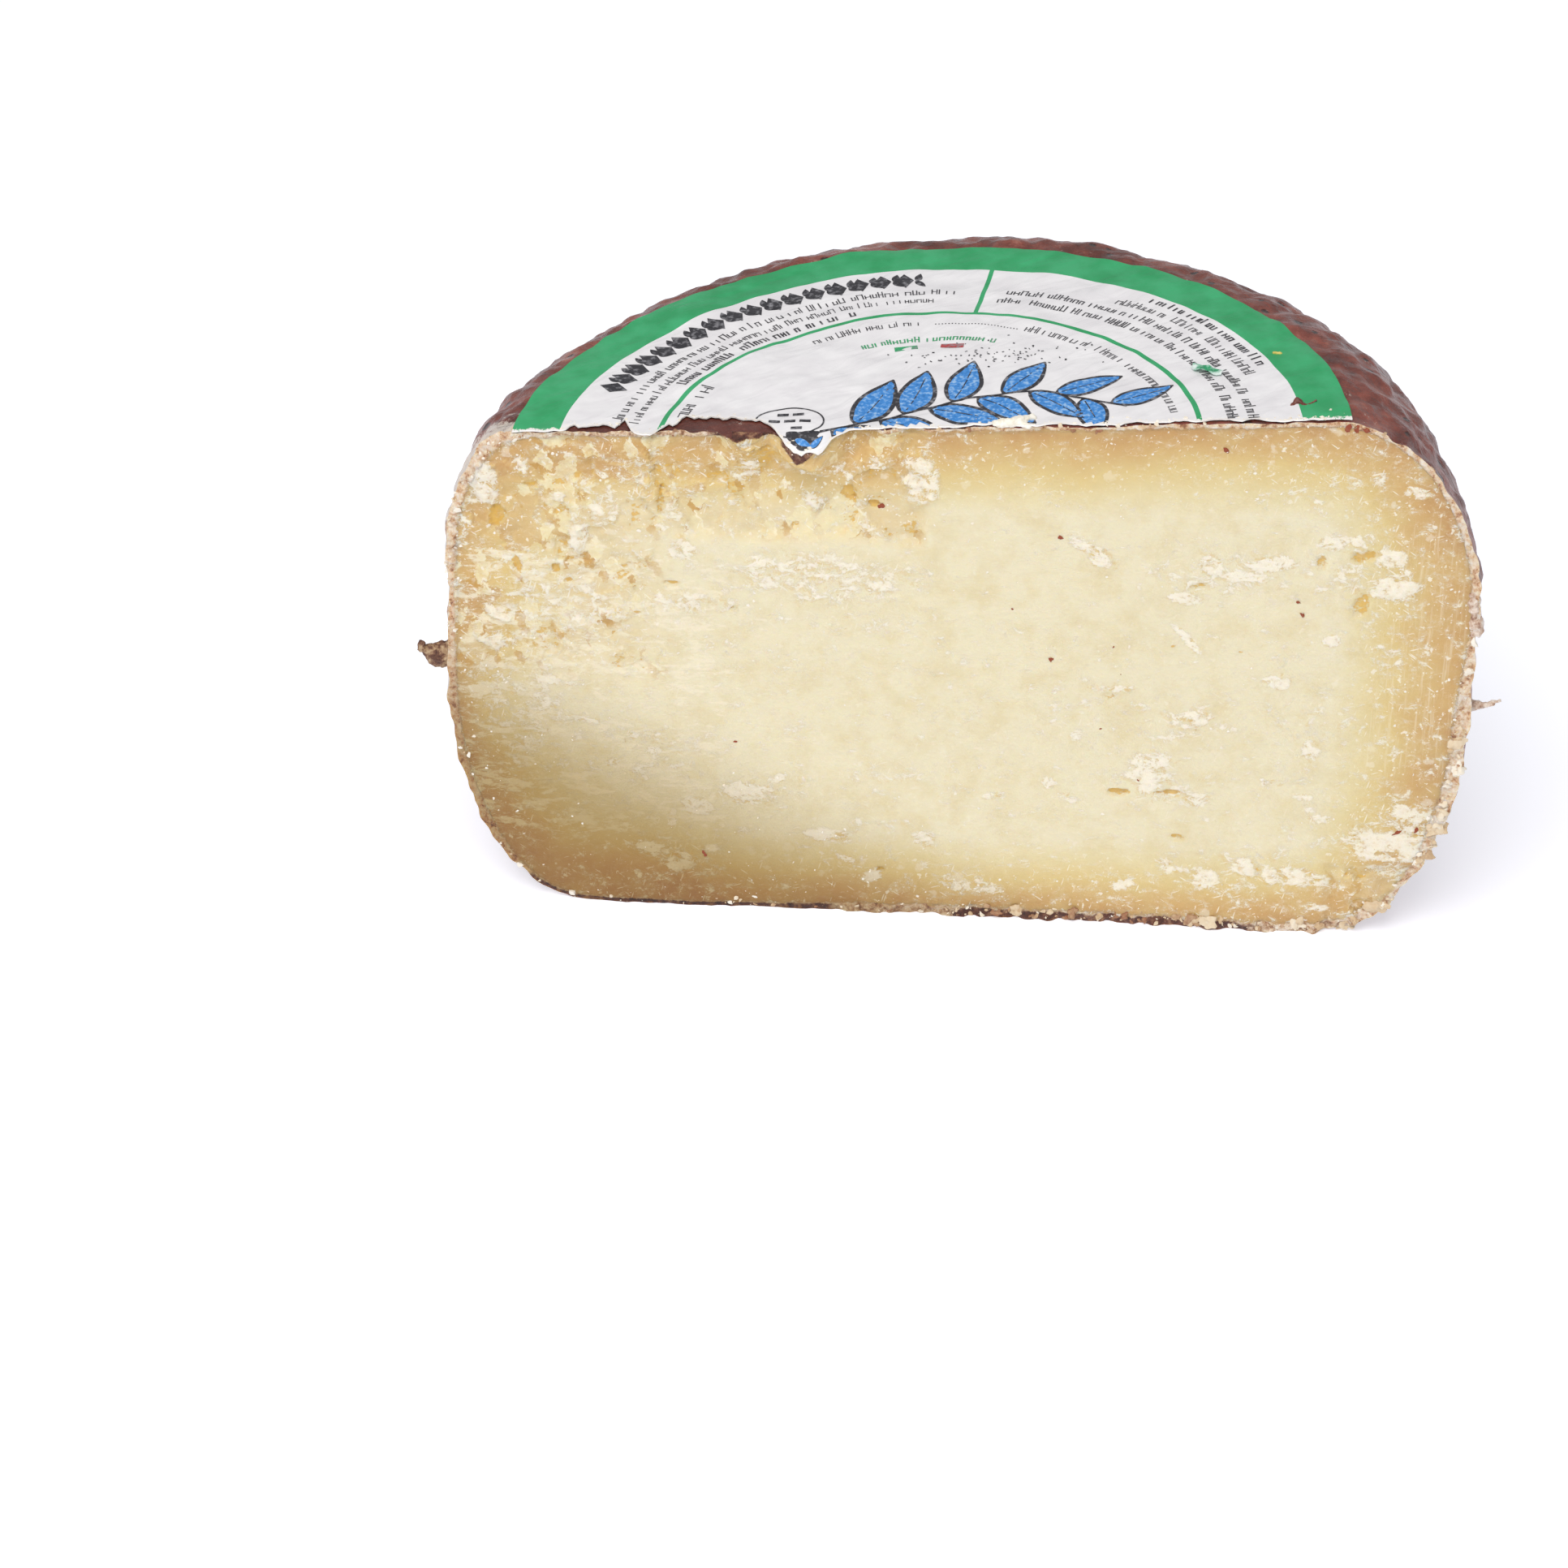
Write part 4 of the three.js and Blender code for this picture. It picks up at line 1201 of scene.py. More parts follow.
def band_width(x, z):
    right = RIGHT_BAND * ease((x - 55) / 25)
    foot = FOOT_BAND * ease((22 - z) / 20) * (1 + 0.8 * ease((x - 15) / 25))
    # At the lower left the golden band is widened, partly as painted shade.
    shade = SHADE_BAND * ease((-35 - x) / 30) * ease((45 - z) / 40)
    top = ease((z - 82) / 12) * (TOP_BAND + TORN_BAND * ease((-15 - x) / 25))
    left = LEFT_BAND * ease((-60 - x) / 15) * ease((z - 45) / 15)
    return SIDE_BAND + right + foot + shade + top + left


def painted_shade_share(x, z):
    """Painted shade: the cut is darker towards the lower left corner, partly the paste's own tone and partly
    painted shadow.
    """
    return ease((42 - z - 0.5 * (x + 40)) / 38)


def smear_share(x, z):
    """Where the blade smeared the paste sideways."""
    left = ease((-20 - x) / 40) * ease((z - 8) / 12) * ease((82 - z) / 14)
    return np.clip(left + 0.25 * ease((30 - x) / 30), 0, 1)


def bent_rind(x, z):
    """A point of rind hangs over the cut under the torn tip of the label."""
    return np.clip(1.6 - np.abs(x - BENT_X) / 2.6 - np.maximum(0, BENT_Z - z) / 2.4, 0, 1)


def dark_crust_share(x, z, inward):
    """The crust is dark brown where it lay on the board, but for a stretch that stayed tan. It is
    darker too where the label is torn away, and dark brown in the bent point of rind."""
    tan_stretch = 0.8 * ease(3 - 2 * np.abs(x - TAN_X) / TAN_HALF)
    board = ease((7 - z) / 5) * ease((1.0 - inward) / 0.5)
    board = board * (1 - tan_stretch) * (1 - 0.8 * ease((x - 46) / 12))
    in_tear = 0.15 + 0.75 * ease(1.5 - np.abs(x - TEAR_X) / TEAR_HALF)
    top_left = in_tear * ease((z - 88) / 5) * ease((-20 - x) / 10) * ease((x + 78) / 8)
    return np.clip(board + top_left + 1.3 * bent_rind(x, z), 0, 1)


def steepness(x, z, lift):
    return np.hypot(cut_face(x + STEP, z)[0] - lift, cut_face(x, z + STEP)[0] - lift) / STEP


def tell_points(piece):
    spots = places(piece)
    x, z = spots[:, 0] - AXIS_X, spots[:, 2]
    depth = np.maximum(0, rim_distance(x, z))
    inward = depth / crust_width(x, z)
    lift, flaked_and_lit, hollow_and_shaded, torn = cut_face(x, z)
    known = {
        "band": depth / band_width(x, z), "scuffed": scuff_share(x, z), "flaked_and_lit": flaked_and_lit, "hollow_and_shaded": hollow_and_shaded,
        "crust": np.minimum(inward, 2.2 - 2.2 * bent_rind(x, z)),
        "torn": torn * (1 - 0.6 * ease((30 - z) / 10)), "shade": painted_shade_share(x, z),
        "smeared": smear_share(x, z), "dark crust": dark_crust_share(x, z, inward),
        "steep": ease((steepness(x, z, lift) - 0.4) / 0.8),
        "combed": ease((x - 66) / 6) * ease((z - 25) / 15) * ease((95 - z) / 15),
    }
    for name, values in known.items():
        piece.data.attributes.new(name, "FLOAT", "POINT").data.foreach_set("value", values)
    return list(known)


for piece in (paste, rind):
    point_facts = tell_points(piece)
print("each point knows:", *point_facts)

# %% Aged paste: cream in the middle, golden towards the rind
cut_cheese, shader = finish("aged pecorino paste", 0.5, Subsurface_Weight=0.35, Subsurface_Scale=0.0022)
shader.inputs["Subsurface Radius"].default_value = (1.0, 0.72, 0.3)
tree = cut_cheese.node_tree
mm = millimetres(tree)
told = {name: add(tree, "Attribute", attribute_name=name).outputs["Fac"] for name in point_facts}

cloud = add(tree, "TexNoise", {"Vector": mm, "Scale": 1 / 13, "Detail": 4.0}).outputs["Fac"]
shifted = add(tree, "Math", {0: cloud, 1: 0.9, 2: -0.45}, operation="MULTIPLY_ADD").outputs[0]
depth = add(tree, "Math", {0: told["band"], 1: shifted}, operation="ADD").outputs[0]
depth = add(tree, "MapRange", {"Value": depth, "From Max": 2.6}).outputs[0]
body = add(tree, "ValToRGB", {"Fac": depth}, stops=(
    (0.0, "BA8E58"), (0.16, "CBA66B"), (0.36, "D9C286"), (0.62, "DFD1A3"), (1.0, "E4DBBB"))).outputs[0]
mottle = add(tree, "TexNoise", {
    "Vector": mm, "Scale": 1 / 5.5, "Detail": 7.0, "Roughness": 0.62}).outputs["Fac"]
yellow = add(tree, "MapRange", {
    "Value": mottle, "From Min": 0.55, "From Max": 0.32, "To Max": 0.4}).outputs[0]
body = add(tree, "Mix", {"Factor": yellow, 6: body, 7: linear("D3BF86")}, data_type="RGBA").outputs[2]

# The knife drew the grain of the paste out sideways, so its noise is stretched along x.
stretched = add(tree, "VectorMath", {0: mm, 1: (0.72, 0.8, 1.0)}, operation="MULTIPLY").outputs[0]
grain = add(tree, "TexNoise", {
    "Vector": stretched, "Scale": 1 / 1.1, "Detail": 6.0, "Roughness": 0.7}).outputs["Fac"]
print("paste body:", len(tree.nodes), "nodes so far")

# %% Shards, their painted shadows and highlights, and facets of the torn paste
# Torn paste is clear golden curd, and paler shards of it were left standing. Each shard is the middle of a
# shaken cell, a little taller than wide, and Manhattan distance gives it corners. The same pattern moved to
# the lower left is painted golden where no shard covers it, a painted shadow beside each shard like a
# crevice. Moved less, it leaves a painted highlight along each shard's upper right edge.
# Each one: cell in mm, share of the cell that the luckiest fills, what the others lack.
SHARDS = ((8.0, 1.15, 0.2), (3.8, 1.1, 0.38))
NO_SHIFT, SHARD_SHADOW_SHIFT, EDGE_SHIFT = (0.0, 0.0, 0.0), (0.7, 0.0, 1.0), (0.28, 0.0, 0.3)
FACET = 8.5
shake = add(tree, "TexNoise", {
    "Vector": mm, "Scale": 1 / 1.9, "Detail": 5.0, "Roughness": 0.6}).outputs["Color"]
shaken = add(tree, "VectorMath", {0: shake, 1: (3.2, 3.2, 3.2), 2: mm}, operation="MULTIPLY_ADD").outputs[0]
upright = add(tree, "VectorMath", {0: shaken, 1: (1.0, 1.0, 0.7)}, operation="MULTIPLY").outputs[0]
layers = []
for shift in (NO_SHIFT, SHARD_SHADOW_SHIFT, EDGE_SHIFT):
    vector = add(tree, "VectorMath", {0: upright, 1: shift}, operation="ADD").outputs[0]
    layer = 0.0
    for size, largest, lack in SHARDS:
        inside = spots_in_cells(tree, vector, 1 / size, largest, lack, "MANHATTAN")
        shard = add(tree, "MapRange", {"Value": inside, "From Max": 0.05}).outputs[0]
        layer = add(tree, "Math", {0: layer, 1: shard}, operation="MAXIMUM").outputs[0]
    layers.append(add(tree, "Math", {0: layer, 1: told["torn"]}, operation="MULTIPLY").outputs[0])
shards, moved_shards, within = layers
shard_shadow = add(tree, "Math", {0: moved_shards, 1: shards}, operation="SUBTRACT", use_clamp=True).outputs[0]
deep = add(tree, "MapRange", {"Value": mottle, "From Min": 0.62, "From Max": 0.42, "To Max": 0.85}).outputs[0]
shard_shadow = add(tree, "Math", {0: shard_shadow, 1: deep}, operation="MULTIPLY").outputs[0]
clear = add(tree, "Math", {0: told["torn"], 1: 0.3}, operation="MULTIPLY").outputs[0]
body = add(tree, "Mix", {"Factor": clear, 6: body, 7: linear("D9BB7A")}, data_type="RGBA").outputs[2]
facets = add(tree, "TexVoronoi", {"Vector": shaken, "Scale": 1 / FACET})
facets = add(tree, "SeparateColor", {"Color": facets.outputs["Color"]}).outputs[1]
facets = add(tree, "MapRange", {
    "Value": facets, "From Min": 0.35, "From Max": 0.9, "To Max": 0.85}).outputs[0]
near_rind = add(tree, "MapRange", {
    "Value": depth, "From Min": 0.75, "From Max": 0.25, "To Min": 0.15}).outputs[0]
facets = add(tree, "Math", {0: facets, 1: near_rind}, operation="MULTIPLY").outputs[0]
facets = add(tree, "Math", {0: facets, 1: told["torn"]}, operation="MULTIPLY").outputs[0]
body = add(tree, "Mix", {"Factor": facets, 6: body, 7: linear("C49B62")}, data_type="RGBA").outputs[2]
uneven = add(tree, "MapRange", {"Value": mottle, "From Min": 0.35, "From Max": 0.6, "To Min": 0.6}).outputs[0]
paler = add(tree, "Math", {0: shards, 1: uneven}, operation="MULTIPLY").outputs[0]
grained = add(tree, "MapRange", {
    "Value": grain, "From Min": 0.38, "From Max": 0.58, "To Min": 0.5}).outputs[0]
paler = add(tree, "Math", {0: paler, 1: grained}, operation="MULTIPLY").outputs[0]
body = add(tree, "Mix", {"Factor": paler, 6: body, 7: linear("EADFB6")}, data_type="RGBA").outputs[2]
# Painted highlight along the upper right edge of each shard.
lit = add(tree, "Math", {0: shards, 1: within}, operation="SUBTRACT", use_clamp=True).outputs[0]
lit = add(tree, "Math", {0: lit, 1: deep}, operation="MULTIPLY").outputs[0]
body = add(tree, "Mix", {"Factor": lit, 6: body, 7: linear("F0E8CE")}, data_type="RGBA").outputs[2]

# Painted light: the steep sides of chips and flakes are mixed towards a warm, clear gold, as light shining
# through them would make them.
painted_glow = add(tree, "Math", {0: told["steep"], 1: 0.5}, operation="MULTIPLY").outputs[0]
body = add(tree, "Mix", {"Factor": painted_glow, 6: body, 7: linear("E5CC90")}, data_type="RGBA").outputs[2]
print("with the torn paste:", len(tree.nodes), "nodes")

# %% Scuffs and flakes: white, with torn edges
# The flakes' own pattern, moved a little, is painted as a golden shadow beneath them.
SMEARED, WHITENED = "ECE2C6", "F0E9D7"
FLAKE_SHADOW_SHIFT = (0.4, 0.0, 0.6)
plain = add(tree, "Math", {0: told["flaked_and_lit"], 1: 1.17}, operation="MULTIPLY").outputs[0]
plain = add(tree, "Math", {0: told["scuffed"], 1: plain}, operation="MAXIMUM").outputs[0]
layers = []
for shift in (FLAKE_SHADOW_SHIFT, NO_SHIFT):
    vector = add(tree, "VectorMath", {0: stretched, 1: shift}, operation="ADD").outputs[0]
    tatter = add(tree, "TexNoise", {
        "Vector": vector, "Scale": 1 / 2.1, "Detail": 7.0, "Roughness": 0.8, "Distortion": 0.4}).outputs[0]
    tatter = add(tree, "Math", {0: tatter, 1: 2.3, 2: -0.65}, operation="MULTIPLY_ADD").outputs[0]
    push = add(tree, "Math", {0: plain, 1: 0.43, 2: tatter}, operation="MULTIPLY_ADD").outputs[0]
    layers.append(add(tree, "MapRange", {"Value": push, "From Min": 0.79, "From Max": 0.85}).outputs[0])
flake_shadow, flakes = layers
# Painted shadow beneath each flake.
flake_shadow = add(tree, "Math", {0: flake_shadow, 1: flakes}, operation="SUBTRACT", use_clamp=True).outputs[0]
flake_shadow = add(tree, "Math", {0: flake_shadow, 1: plain}, operation="MULTIPLY").outputs[0]
flake_shadow = add(tree, "Math", {0: flake_shadow, 1: 0.6}, operation="MULTIPLY").outputs[0]
body = add(tree, "Mix", {"Factor": flake_shadow, 6: body, 7: linear("D2AE5E")}, data_type="RGBA").outputs[2]
haze = add(tree, "MapRange", {"Value": push, "From Min": 0.6, "From Max": 0.95, "To Max": 0.5}).outputs[0]

drawn = add(tree, "VectorMath", {0: mm, 1: (0.36, 0.8, 1.0)}, operation="MULTIPLY").outputs[0]
strands = add(tree, "TexNoise", {
    "Vector": drawn, "Scale": 1 / 2.2, "Detail": 7.0, "Roughness": 0.75, "Distortion": 0.3}).outputs["Fac"]
strands = add(tree, "Math", {0: told["smeared"], 1: 0.17, 2: strands}, operation="MULTIPLY_ADD").outputs[0]
strands = add(tree, "MapRange", {
    "Value": strands, "From Min": 0.66, "From Max": 0.73, "To Max": 0.85}).outputs[0]

combed = add(tree, "VectorMath", {0: mm, 1: (1.0, 0.3, 0.06)}, operation="MULTIPLY").outputs[0]
teeth = add(tree, "TexNoise", {
    "Vector": combed, "Scale": 1 / 0.8, "Detail": 4.0, "Roughness": 0.7}).outputs["Fac"]
teeth = add(tree, "Math", {0: told["combed"], 1: 0.12, 2: teeth}, operation="MULTIPLY_ADD").outputs[0]
teeth = add(tree, "MapRange", {"Value": teeth, "From Min": 0.64, "From Max": 0.78, "To Max": 0.42}).outputs[0]
print("with the scuffs:", len(tree.nodes), "nodes")

# %% Pale spots, powder and scratches
# Round pale spots, and specks of white powder: cells, each with its own luck. A spot fills its cell's middle.
# Each one: cell in mm, share of the cell that the luckiest fills, what the others lack, its softness, and
# how white it is.
ROUND_MARKS = ((3.4, 0.6, 0.26, 0.1, 0.4), (1.6, 0.6, 0.3, 0.06, 0.8), (0.8, 0.5, 0.19, 0.08, 0.8))
marks = None
for size, largest, lack, softness, amount in ROUND_MARKS:
    inside = spots_in_cells(tree, shaken, 1 / size, largest, lack)
    spot = add(tree, "MapRange", {"Value": inside, "From Max": softness, "To Max": amount}).outputs[0]
    marks = add(tree, "Math", {0: marks, 1: spot}, operation="MAXIMUM").outputs[0] if marks else spot

# Short scratches: the same cells, drawn thin and turned three ways.
SCRATCH_LENGTH, SCRATCH_WIDTH = 3.4, 0.42
SCRATCH_TURNS = (0.35, 1.3, 2.5)
for turn in SCRATCH_TURNS:
    turned = add(tree, "VectorRotate", {"Vector": mm, "Axis": (0, 1, 0), "Angle": turn}).outputs[0]
    thin = (1 / SCRATCH_LENGTH, 0.2, 1 / SCRATCH_WIDTH)
    turned = add(tree, "VectorMath", {0: turned, 1: thin}, operation="MULTIPLY").outputs[0]
    inside = spots_in_cells(tree, turned, 1.0, 1.6, 1.35)
    inside = add(tree, "Math", {0: plain, 1: 0.26, 2: inside}, operation="MULTIPLY_ADD").outputs[0]
    scratch = add(tree, "MapRange", {"Value": inside, "From Max": 0.1, "To Max": 0.8}).outputs[0]
    marks = add(tree, "Math", {0: marks, 1: scratch}, operation="MAXIMUM").outputs[0]

# Few of them lie in the smooth middle.
rough_paste = add(tree, "Math", {0: depth, 1: -0.85, 2: 1.0}, operation="MULTIPLY_ADD").outputs[0]
rough_paste = add(tree, "Math", {0: told["torn"], 1: rough_paste}, operation="MAXIMUM").outputs[0]
rough_paste = add(tree, "Math", {0: plain, 1: rough_paste}, operation="ADD", use_clamp=True).outputs[0]
marks = add(tree, "Math", {0: marks, 1: rough_paste}, operation="MULTIPLY").outputs[0]

smears = add(tree, "Math", {0: haze, 1: strands}, operation="MAXIMUM").outputs[0]
smears = add(tree, "Math", {0: smears, 1: teeth}, operation="MAXIMUM").outputs[0]
body = add(tree, "Mix", {"Factor": smears, 6: body, 7: linear(SMEARED)}, data_type="RGBA").outputs[2]
ridged = add(tree, "MapRange", {
    "Value": grain, "From Min": 0.38, "From Max": 0.55, "To Min": 0.5, "To Max": 0.95}).outputs[0]
pale = add(tree, "Math", {0: flakes, 1: ridged}, operation="MULTIPLY").outputs[0]
pale = add(tree, "Math", {0: pale, 1: marks}, operation="MAXIMUM").outputs[0]
body = add(tree, "Mix", {"Factor": pale, 6: body, 7: linear(WHITENED)}, data_type="RGBA").outputs[2]
print("with the spots and scratches:", len(tree.nodes), "nodes")

# %% Golden hollows and cracks, and painted shadow beside the shards
sunk = add(tree, "Math", {0: told["hollow_and_shaded"], 1: 0.4, 2: grain}, operation="MULTIPLY_ADD").outputs[0]
sunk = add(tree, "MapRange", {"Value": sunk, "From Min": 0.76, "From Max": 0.84, "To Max": 0.8}).outputs[0]
cracks = add(tree, "Math", {0: plain, 1: -0.12, 2: grain}, operation="MULTIPLY_ADD").outputs[0]
cracks = add(tree, "MapRange", {
    "Value": cracks, "From Min": 0.28, "From Max": 0.22, "To Max": 0.4}).outputs[0]
sunk = add(tree, "Math", {0: sunk, 1: cracks}, operation="MAXIMUM").outputs[0]
body = add(tree, "Mix", {"Factor": sunk, 6: body, 7: linear("DCB04A")}, data_type="RGBA").outputs[2]
# Painted shadow beside each shard, golden like a crevice.
body = add(tree, "Mix", {"Factor": shard_shadow, 6: body, 7: linear("C4974A")}, data_type="RGBA").outputs[2]
print("with the hollows:", len(tree.nodes), "nodes")

# %% The section of the rind: dry, pale and crumbly, brown on the board side
crumble = add(tree, "TexNoise", {
    "Vector": mm, "Scale": 1 / 1.4, "Detail": 6.0, "Roughness": 0.7}).outputs["Fac"]
crust_tone = add(tree, "ValToRGB", {"Fac": crumble}, stops=(
    (0.34, "996848"), (0.42, "CCA27C"), (0.5, "DFC6A8"), (0.62, "ECDFCE"))).outputs[0]
brown_tone = add(tree, "ValToRGB", {"Fac": crumble}, stops=(
    (0.36, "3B1C13"), (0.5, "67392A"), (0.64, "A17A5C"))).outputs[0]
browned = add(tree, "Math", {0: crumble, 1: 1.2, 2: -0.6}, operation="MULTIPLY_ADD").outputs[0]
browned = add(tree, "Math", {0: told["dark crust"], 1: browned}, operation="SUBTRACT").outputs[0]
browned = add(tree, "MapRange", {"Value": browned, "From Min": 0.1, "From Max": 0.6}).outputs[0]
crust_tone = add(tree, "Mix", {"Factor": browned, 6: crust_tone, 7: brown_tone}, data_type="RGBA").outputs[2]
ragged = add(tree, "Math", {0: grain, 1: 1.5, 2: -0.75}, operation="MULTIPLY_ADD").outputs[0]
crust_edge = add(tree, "Math", {0: told["crust"], 1: ragged}, operation="ADD").outputs[0]
in_crust = add(tree, "MapRange", {"Value": crust_edge, "From Min": 1.05, "From Max": 0.85}).outputs[0]
body = add(tree, "Mix", {"Factor": in_crust, 6: body, 7: crust_tone}, data_type="RGBA").outputs[2]

# Painted shade: towards the lower left corner the whole cut is multiplied darker, partly the paste's own tone
# and partly painted shadow.
body = add(tree, "Mix", {"Factor": told["shade"], 6: body, 7: linear("C1B18E")},
           data_type="RGBA", blend_type="MULTIPLY").outputs[2]
tree.links.new(body, shader.inputs["Base Color"])
print("with the section of the rind:", len(tree.nodes), "nodes")

# %% Relief that is finer than the mesh
relief = add(tree, "Math", {0: flakes, 1: 0.2, 2: grain}, operation="MULTIPLY_ADD").outputs[0]
for layer, height in ((strands, 0.12), (sunk, -0.4)):
    relief = add(tree, "Math", {0: layer, 1: height, 2: relief}, operation="MULTIPLY_ADD").outputs[0]
rim_relief = add(tree, "Math", {0: in_crust, 1: crumble}, operation="MULTIPLY").outputs[0]
relief = add(tree, "Math", {0: rim_relief, 1: 1.5, 2: relief}, operation="MULTIPLY_ADD").outputs[0]
bump = add(tree, "Bump", {"Height": relief, "Strength": 0.6, "Distance": 0.0005})
tree.links.new(bump.outputs[0], shader.inputs["Normal"])
wear(paste, cut_cheese)
print("paste finish:", len(tree.nodes), "nodes")

# %% [markdown]
# ## Rind
# The rind was rubbed with oil and a brown colour until it was dark and a little glossy. Colour gathers in
# the pits. White mould took hold near the cut on the left.

# %% The oiled skin
# Oil and wax leave a thin satin coat over dull rind, so only the bumps catch the light.
BARED_DEPTH = 7.0
# Each side of the tear: x where the bared rind begins, and where it is fully bared.
BARED_X = ((-70.0, -67.0), (-21.0, -24.0))
MOULD_FROM_X, MOULD_FULL_X, MOULD_DEPTH = -62.0, -84.0, 11.0
rind_skin, shader = finish(
    "oiled brown rind", 0.42, Coat_Weight=0.22, Coat_Roughness=0.22, Sheen_Weight=0.06, Sheen_Roughness=0.4)
tree = rind_skin.node_tree
mm = millimetres(tree)
stain = add(tree, "TexNoise", {"Vector": mm, "Scale": 1 / 8, "Detail": 6.0, "Roughness": 0.7}).outputs["Fac"]
brown = add(tree, "ValToRGB", {"Fac": stain}, stops=(
    (0.3, "461B13"), (0.46, "6F362B"), (0.6, "8C4B3E"), (0.76, "AF7B6B"))).outputs[0]
upright = add(tree, "VectorMath", {0: mm, 1: (1.0, 1.0, 0.7)}, operation="MULTIPLY").outputs[0]
pit_cells = add(tree, "TexVoronoi", {"Vector": upright, "Scale": 1 / 3.0})
pit_luck = add(tree, "SeparateColor", {"Color": pit_cells.outputs["Color"]}).outputs[0]
pit = add(tree, "Math", {0: pit_luck, 1: 0.55, 2: -0.25}, operation="MULTIPLY_ADD").outputs[0]
pit = add(tree, "Math", {0: pit, 1: pit_cells.outputs["Distance"]}, operation="SUBTRACT").outputs[0]
pit = add(tree, "MapRange", {"Value": pit, "From Min": -0.04, "From Max": 0.06}).outputs[0]
brown = add(tree, "Mix", {"Factor": pit, 6: brown, 7: linear("300F09")}, data_type="RGBA").outputs[2]

# The rind is darker where the label is torn away, near the cut.
place = add(tree, "SeparateXYZ", {0: mm})
bared_from, bared_full = CUT_Y + BARED_DEPTH, CUT_Y + 0.7 * BARED_DEPTH
bared = add(tree, "MapRange", {
    "Value": place.outputs["Y"], "From Min": bared_from, "From Max": bared_full}).outputs[0]
for edge, inner in BARED_X:
    inside = add(tree, "MapRange", {
        "Value": place.outputs["X"], "From Min": edge, "From Max": inner}).outputs[0]
    bared = add(tree, "Math", {0: bared, 1: inside}, operation="MULTIPLY").outputs[0]
bared = add(tree, "Math", {0: bared, 1: 0.6}, operation="MULTIPLY").outputs[0]
brown = add(tree, "Mix", {"Factor": bared, 6: brown, 7: linear("43190F")}, data_type="RGBA").outputs[2]

# White mould, near the cut on the left.
beside = add(tree, "MapRange", {
    "Value": place.outputs["X"], "From Min": MOULD_FROM_X, "From Max": MOULD_FULL_X}).outputs[0]
near = add(tree, "MapRange", {
    "Value": place.outputs["Y"], "From Min": CUT_Y + MOULD_DEPTH, "From Max": CUT_Y}).outputs[0]
mould = add(tree, "Math", {0: beside, 1: near}, operation="MULTIPLY").outputs[0]
fuzz = add(tree, "TexNoise", {
    "Vector": mm, "Scale": 1 / 2.4, "Detail": 8.0, "Roughness": 0.78}).outputs["Fac"]
mould = add(tree, "Math", {0: mould, 1: 0.42, 2: fuzz}, operation="MULTIPLY_ADD").outputs[0]
mould = add(tree, "MapRange", {"Value": mould, "From Min": 0.62, "From Max": 0.72, "To Max": 0.85}).outputs[0]
brown = add(tree, "Mix", {"Factor": mould, 6: brown, 7: linear("E2D8CC")}, data_type="RGBA").outputs[2]
tree.links.new(brown, shader.inputs["Base Color"])
pores = add(tree, "TexNoise", {"Vector": mm, "Scale": 1 / 0.9, "Detail": 4.0}).outputs["Fac"]
relief = pores
for layer, height in ((pit, -1.2), (pit_cells.outputs["Distance"], 1.6)):
    relief = add(tree, "Math", {0: layer, 1: height, 2: relief}, operation="MULTIPLY_ADD").outputs[0]
bump = add(tree, "Bump", {"Height": relief, "Strength": 0.8, "Distance": 0.0007})
tree.links.new(bump.outputs[0], shader.inputs["Normal"])

wear(rind, rind_skin, cut_cheese)
SECTION_REACH = 3.0
FRONT_NORMAL = -0.3
for face in rind.data.polygons:
    if face.normal.y < FRONT_NORMAL and face.center.y / MM < CUT_Y + SECTION_REACH:
        face.material_index = 1
print("rind finish:", len(tree.nodes), "nodes")

# %% Scraps, crumbs and lips
# The lip at the left dried to dull brown bark with tan ridges. The curl on the label is oiled rind.
scrap_skin, shader = finish("dried rind lip", 0.7)
tree = scrap_skin.node_tree
mm = millimetres(tree)
stain = add(tree, "TexNoise", {
    "Vector": mm, "Scale": 1 / 1.8, "Detail": 5.0, "Roughness": 0.7}).outputs["Fac"]
tan = add(tree, "ValToRGB", {"Fac": stain}, stops=(
    (0.34, "3B2018"), (0.46, "6F4A38"), (0.56, "A98B6A"), (0.7, "CDB89A"))).outputs[0]
tree.links.new(tan, shader.inputs["Base Color"])
bump = add(tree, "Bump", {"Height": stain, "Strength": 0.6, "Distance": 0.0005})
tree.links.new(bump.outputs[0], shader.inputs["Normal"])
wear(scraps, scrap_skin)
wear(curl, rind_skin)

# Crumbs are dry and dull, from the brown of the rind to the cream of the paste.
crumb_colour, shader = finish("dry cheese crumbs", 0.7)
tree = crumb_colour.node_tree
tone = add(tree, "Attribute", attribute_name="tone").outputs["Fac"]
speckle = add(tree, "TexNoise", {"Vector": millimetres(tree), "Scale": 1 / 0.7, "Detail": 3.0}).outputs["Fac"]
tone = add(tree, "Math", {0: speckle, 1: 0.3, 2: tone}, operation="MULTIPLY_ADD").outputs[0]
tan = add(tree, "ValToRGB", {"Fac": tone}, stops=(
    (0.16, "8F4226"), (0.3, "9C7052"), (0.5, "CFB48E"), (0.75, "E2D2B6"), (1.0, "EFE9DC"))).outputs[0]
tree.links.new(tan, shader.inputs["Base Color"])
for heap in (rim_crumbs, crust_lumps, paste_crumbs, rind_specks, edge_dust):
    wear(heap, crumb_colour)

# The crumb on the label's edge broke off last, so it is still white and less dull.
white_crumb, shader = finish("fresh white crumb", 0.6)
tree = white_crumb.node_tree
speckle = add(tree, "TexNoise", {"Vector": millimetres(tree), "Scale": 1 / 0.8, "Detail": 3.0}).outputs["Fac"]
chalk = add(tree, "ValToRGB", {"Fac": speckle}, stops=((0.35, "E6DFCC"), (0.6, "F7F4EA"))).outputs[0]
tree.links.new(chalk, shader.inputs["Base Color"])
wear(cheese_crumb, white_crumb)

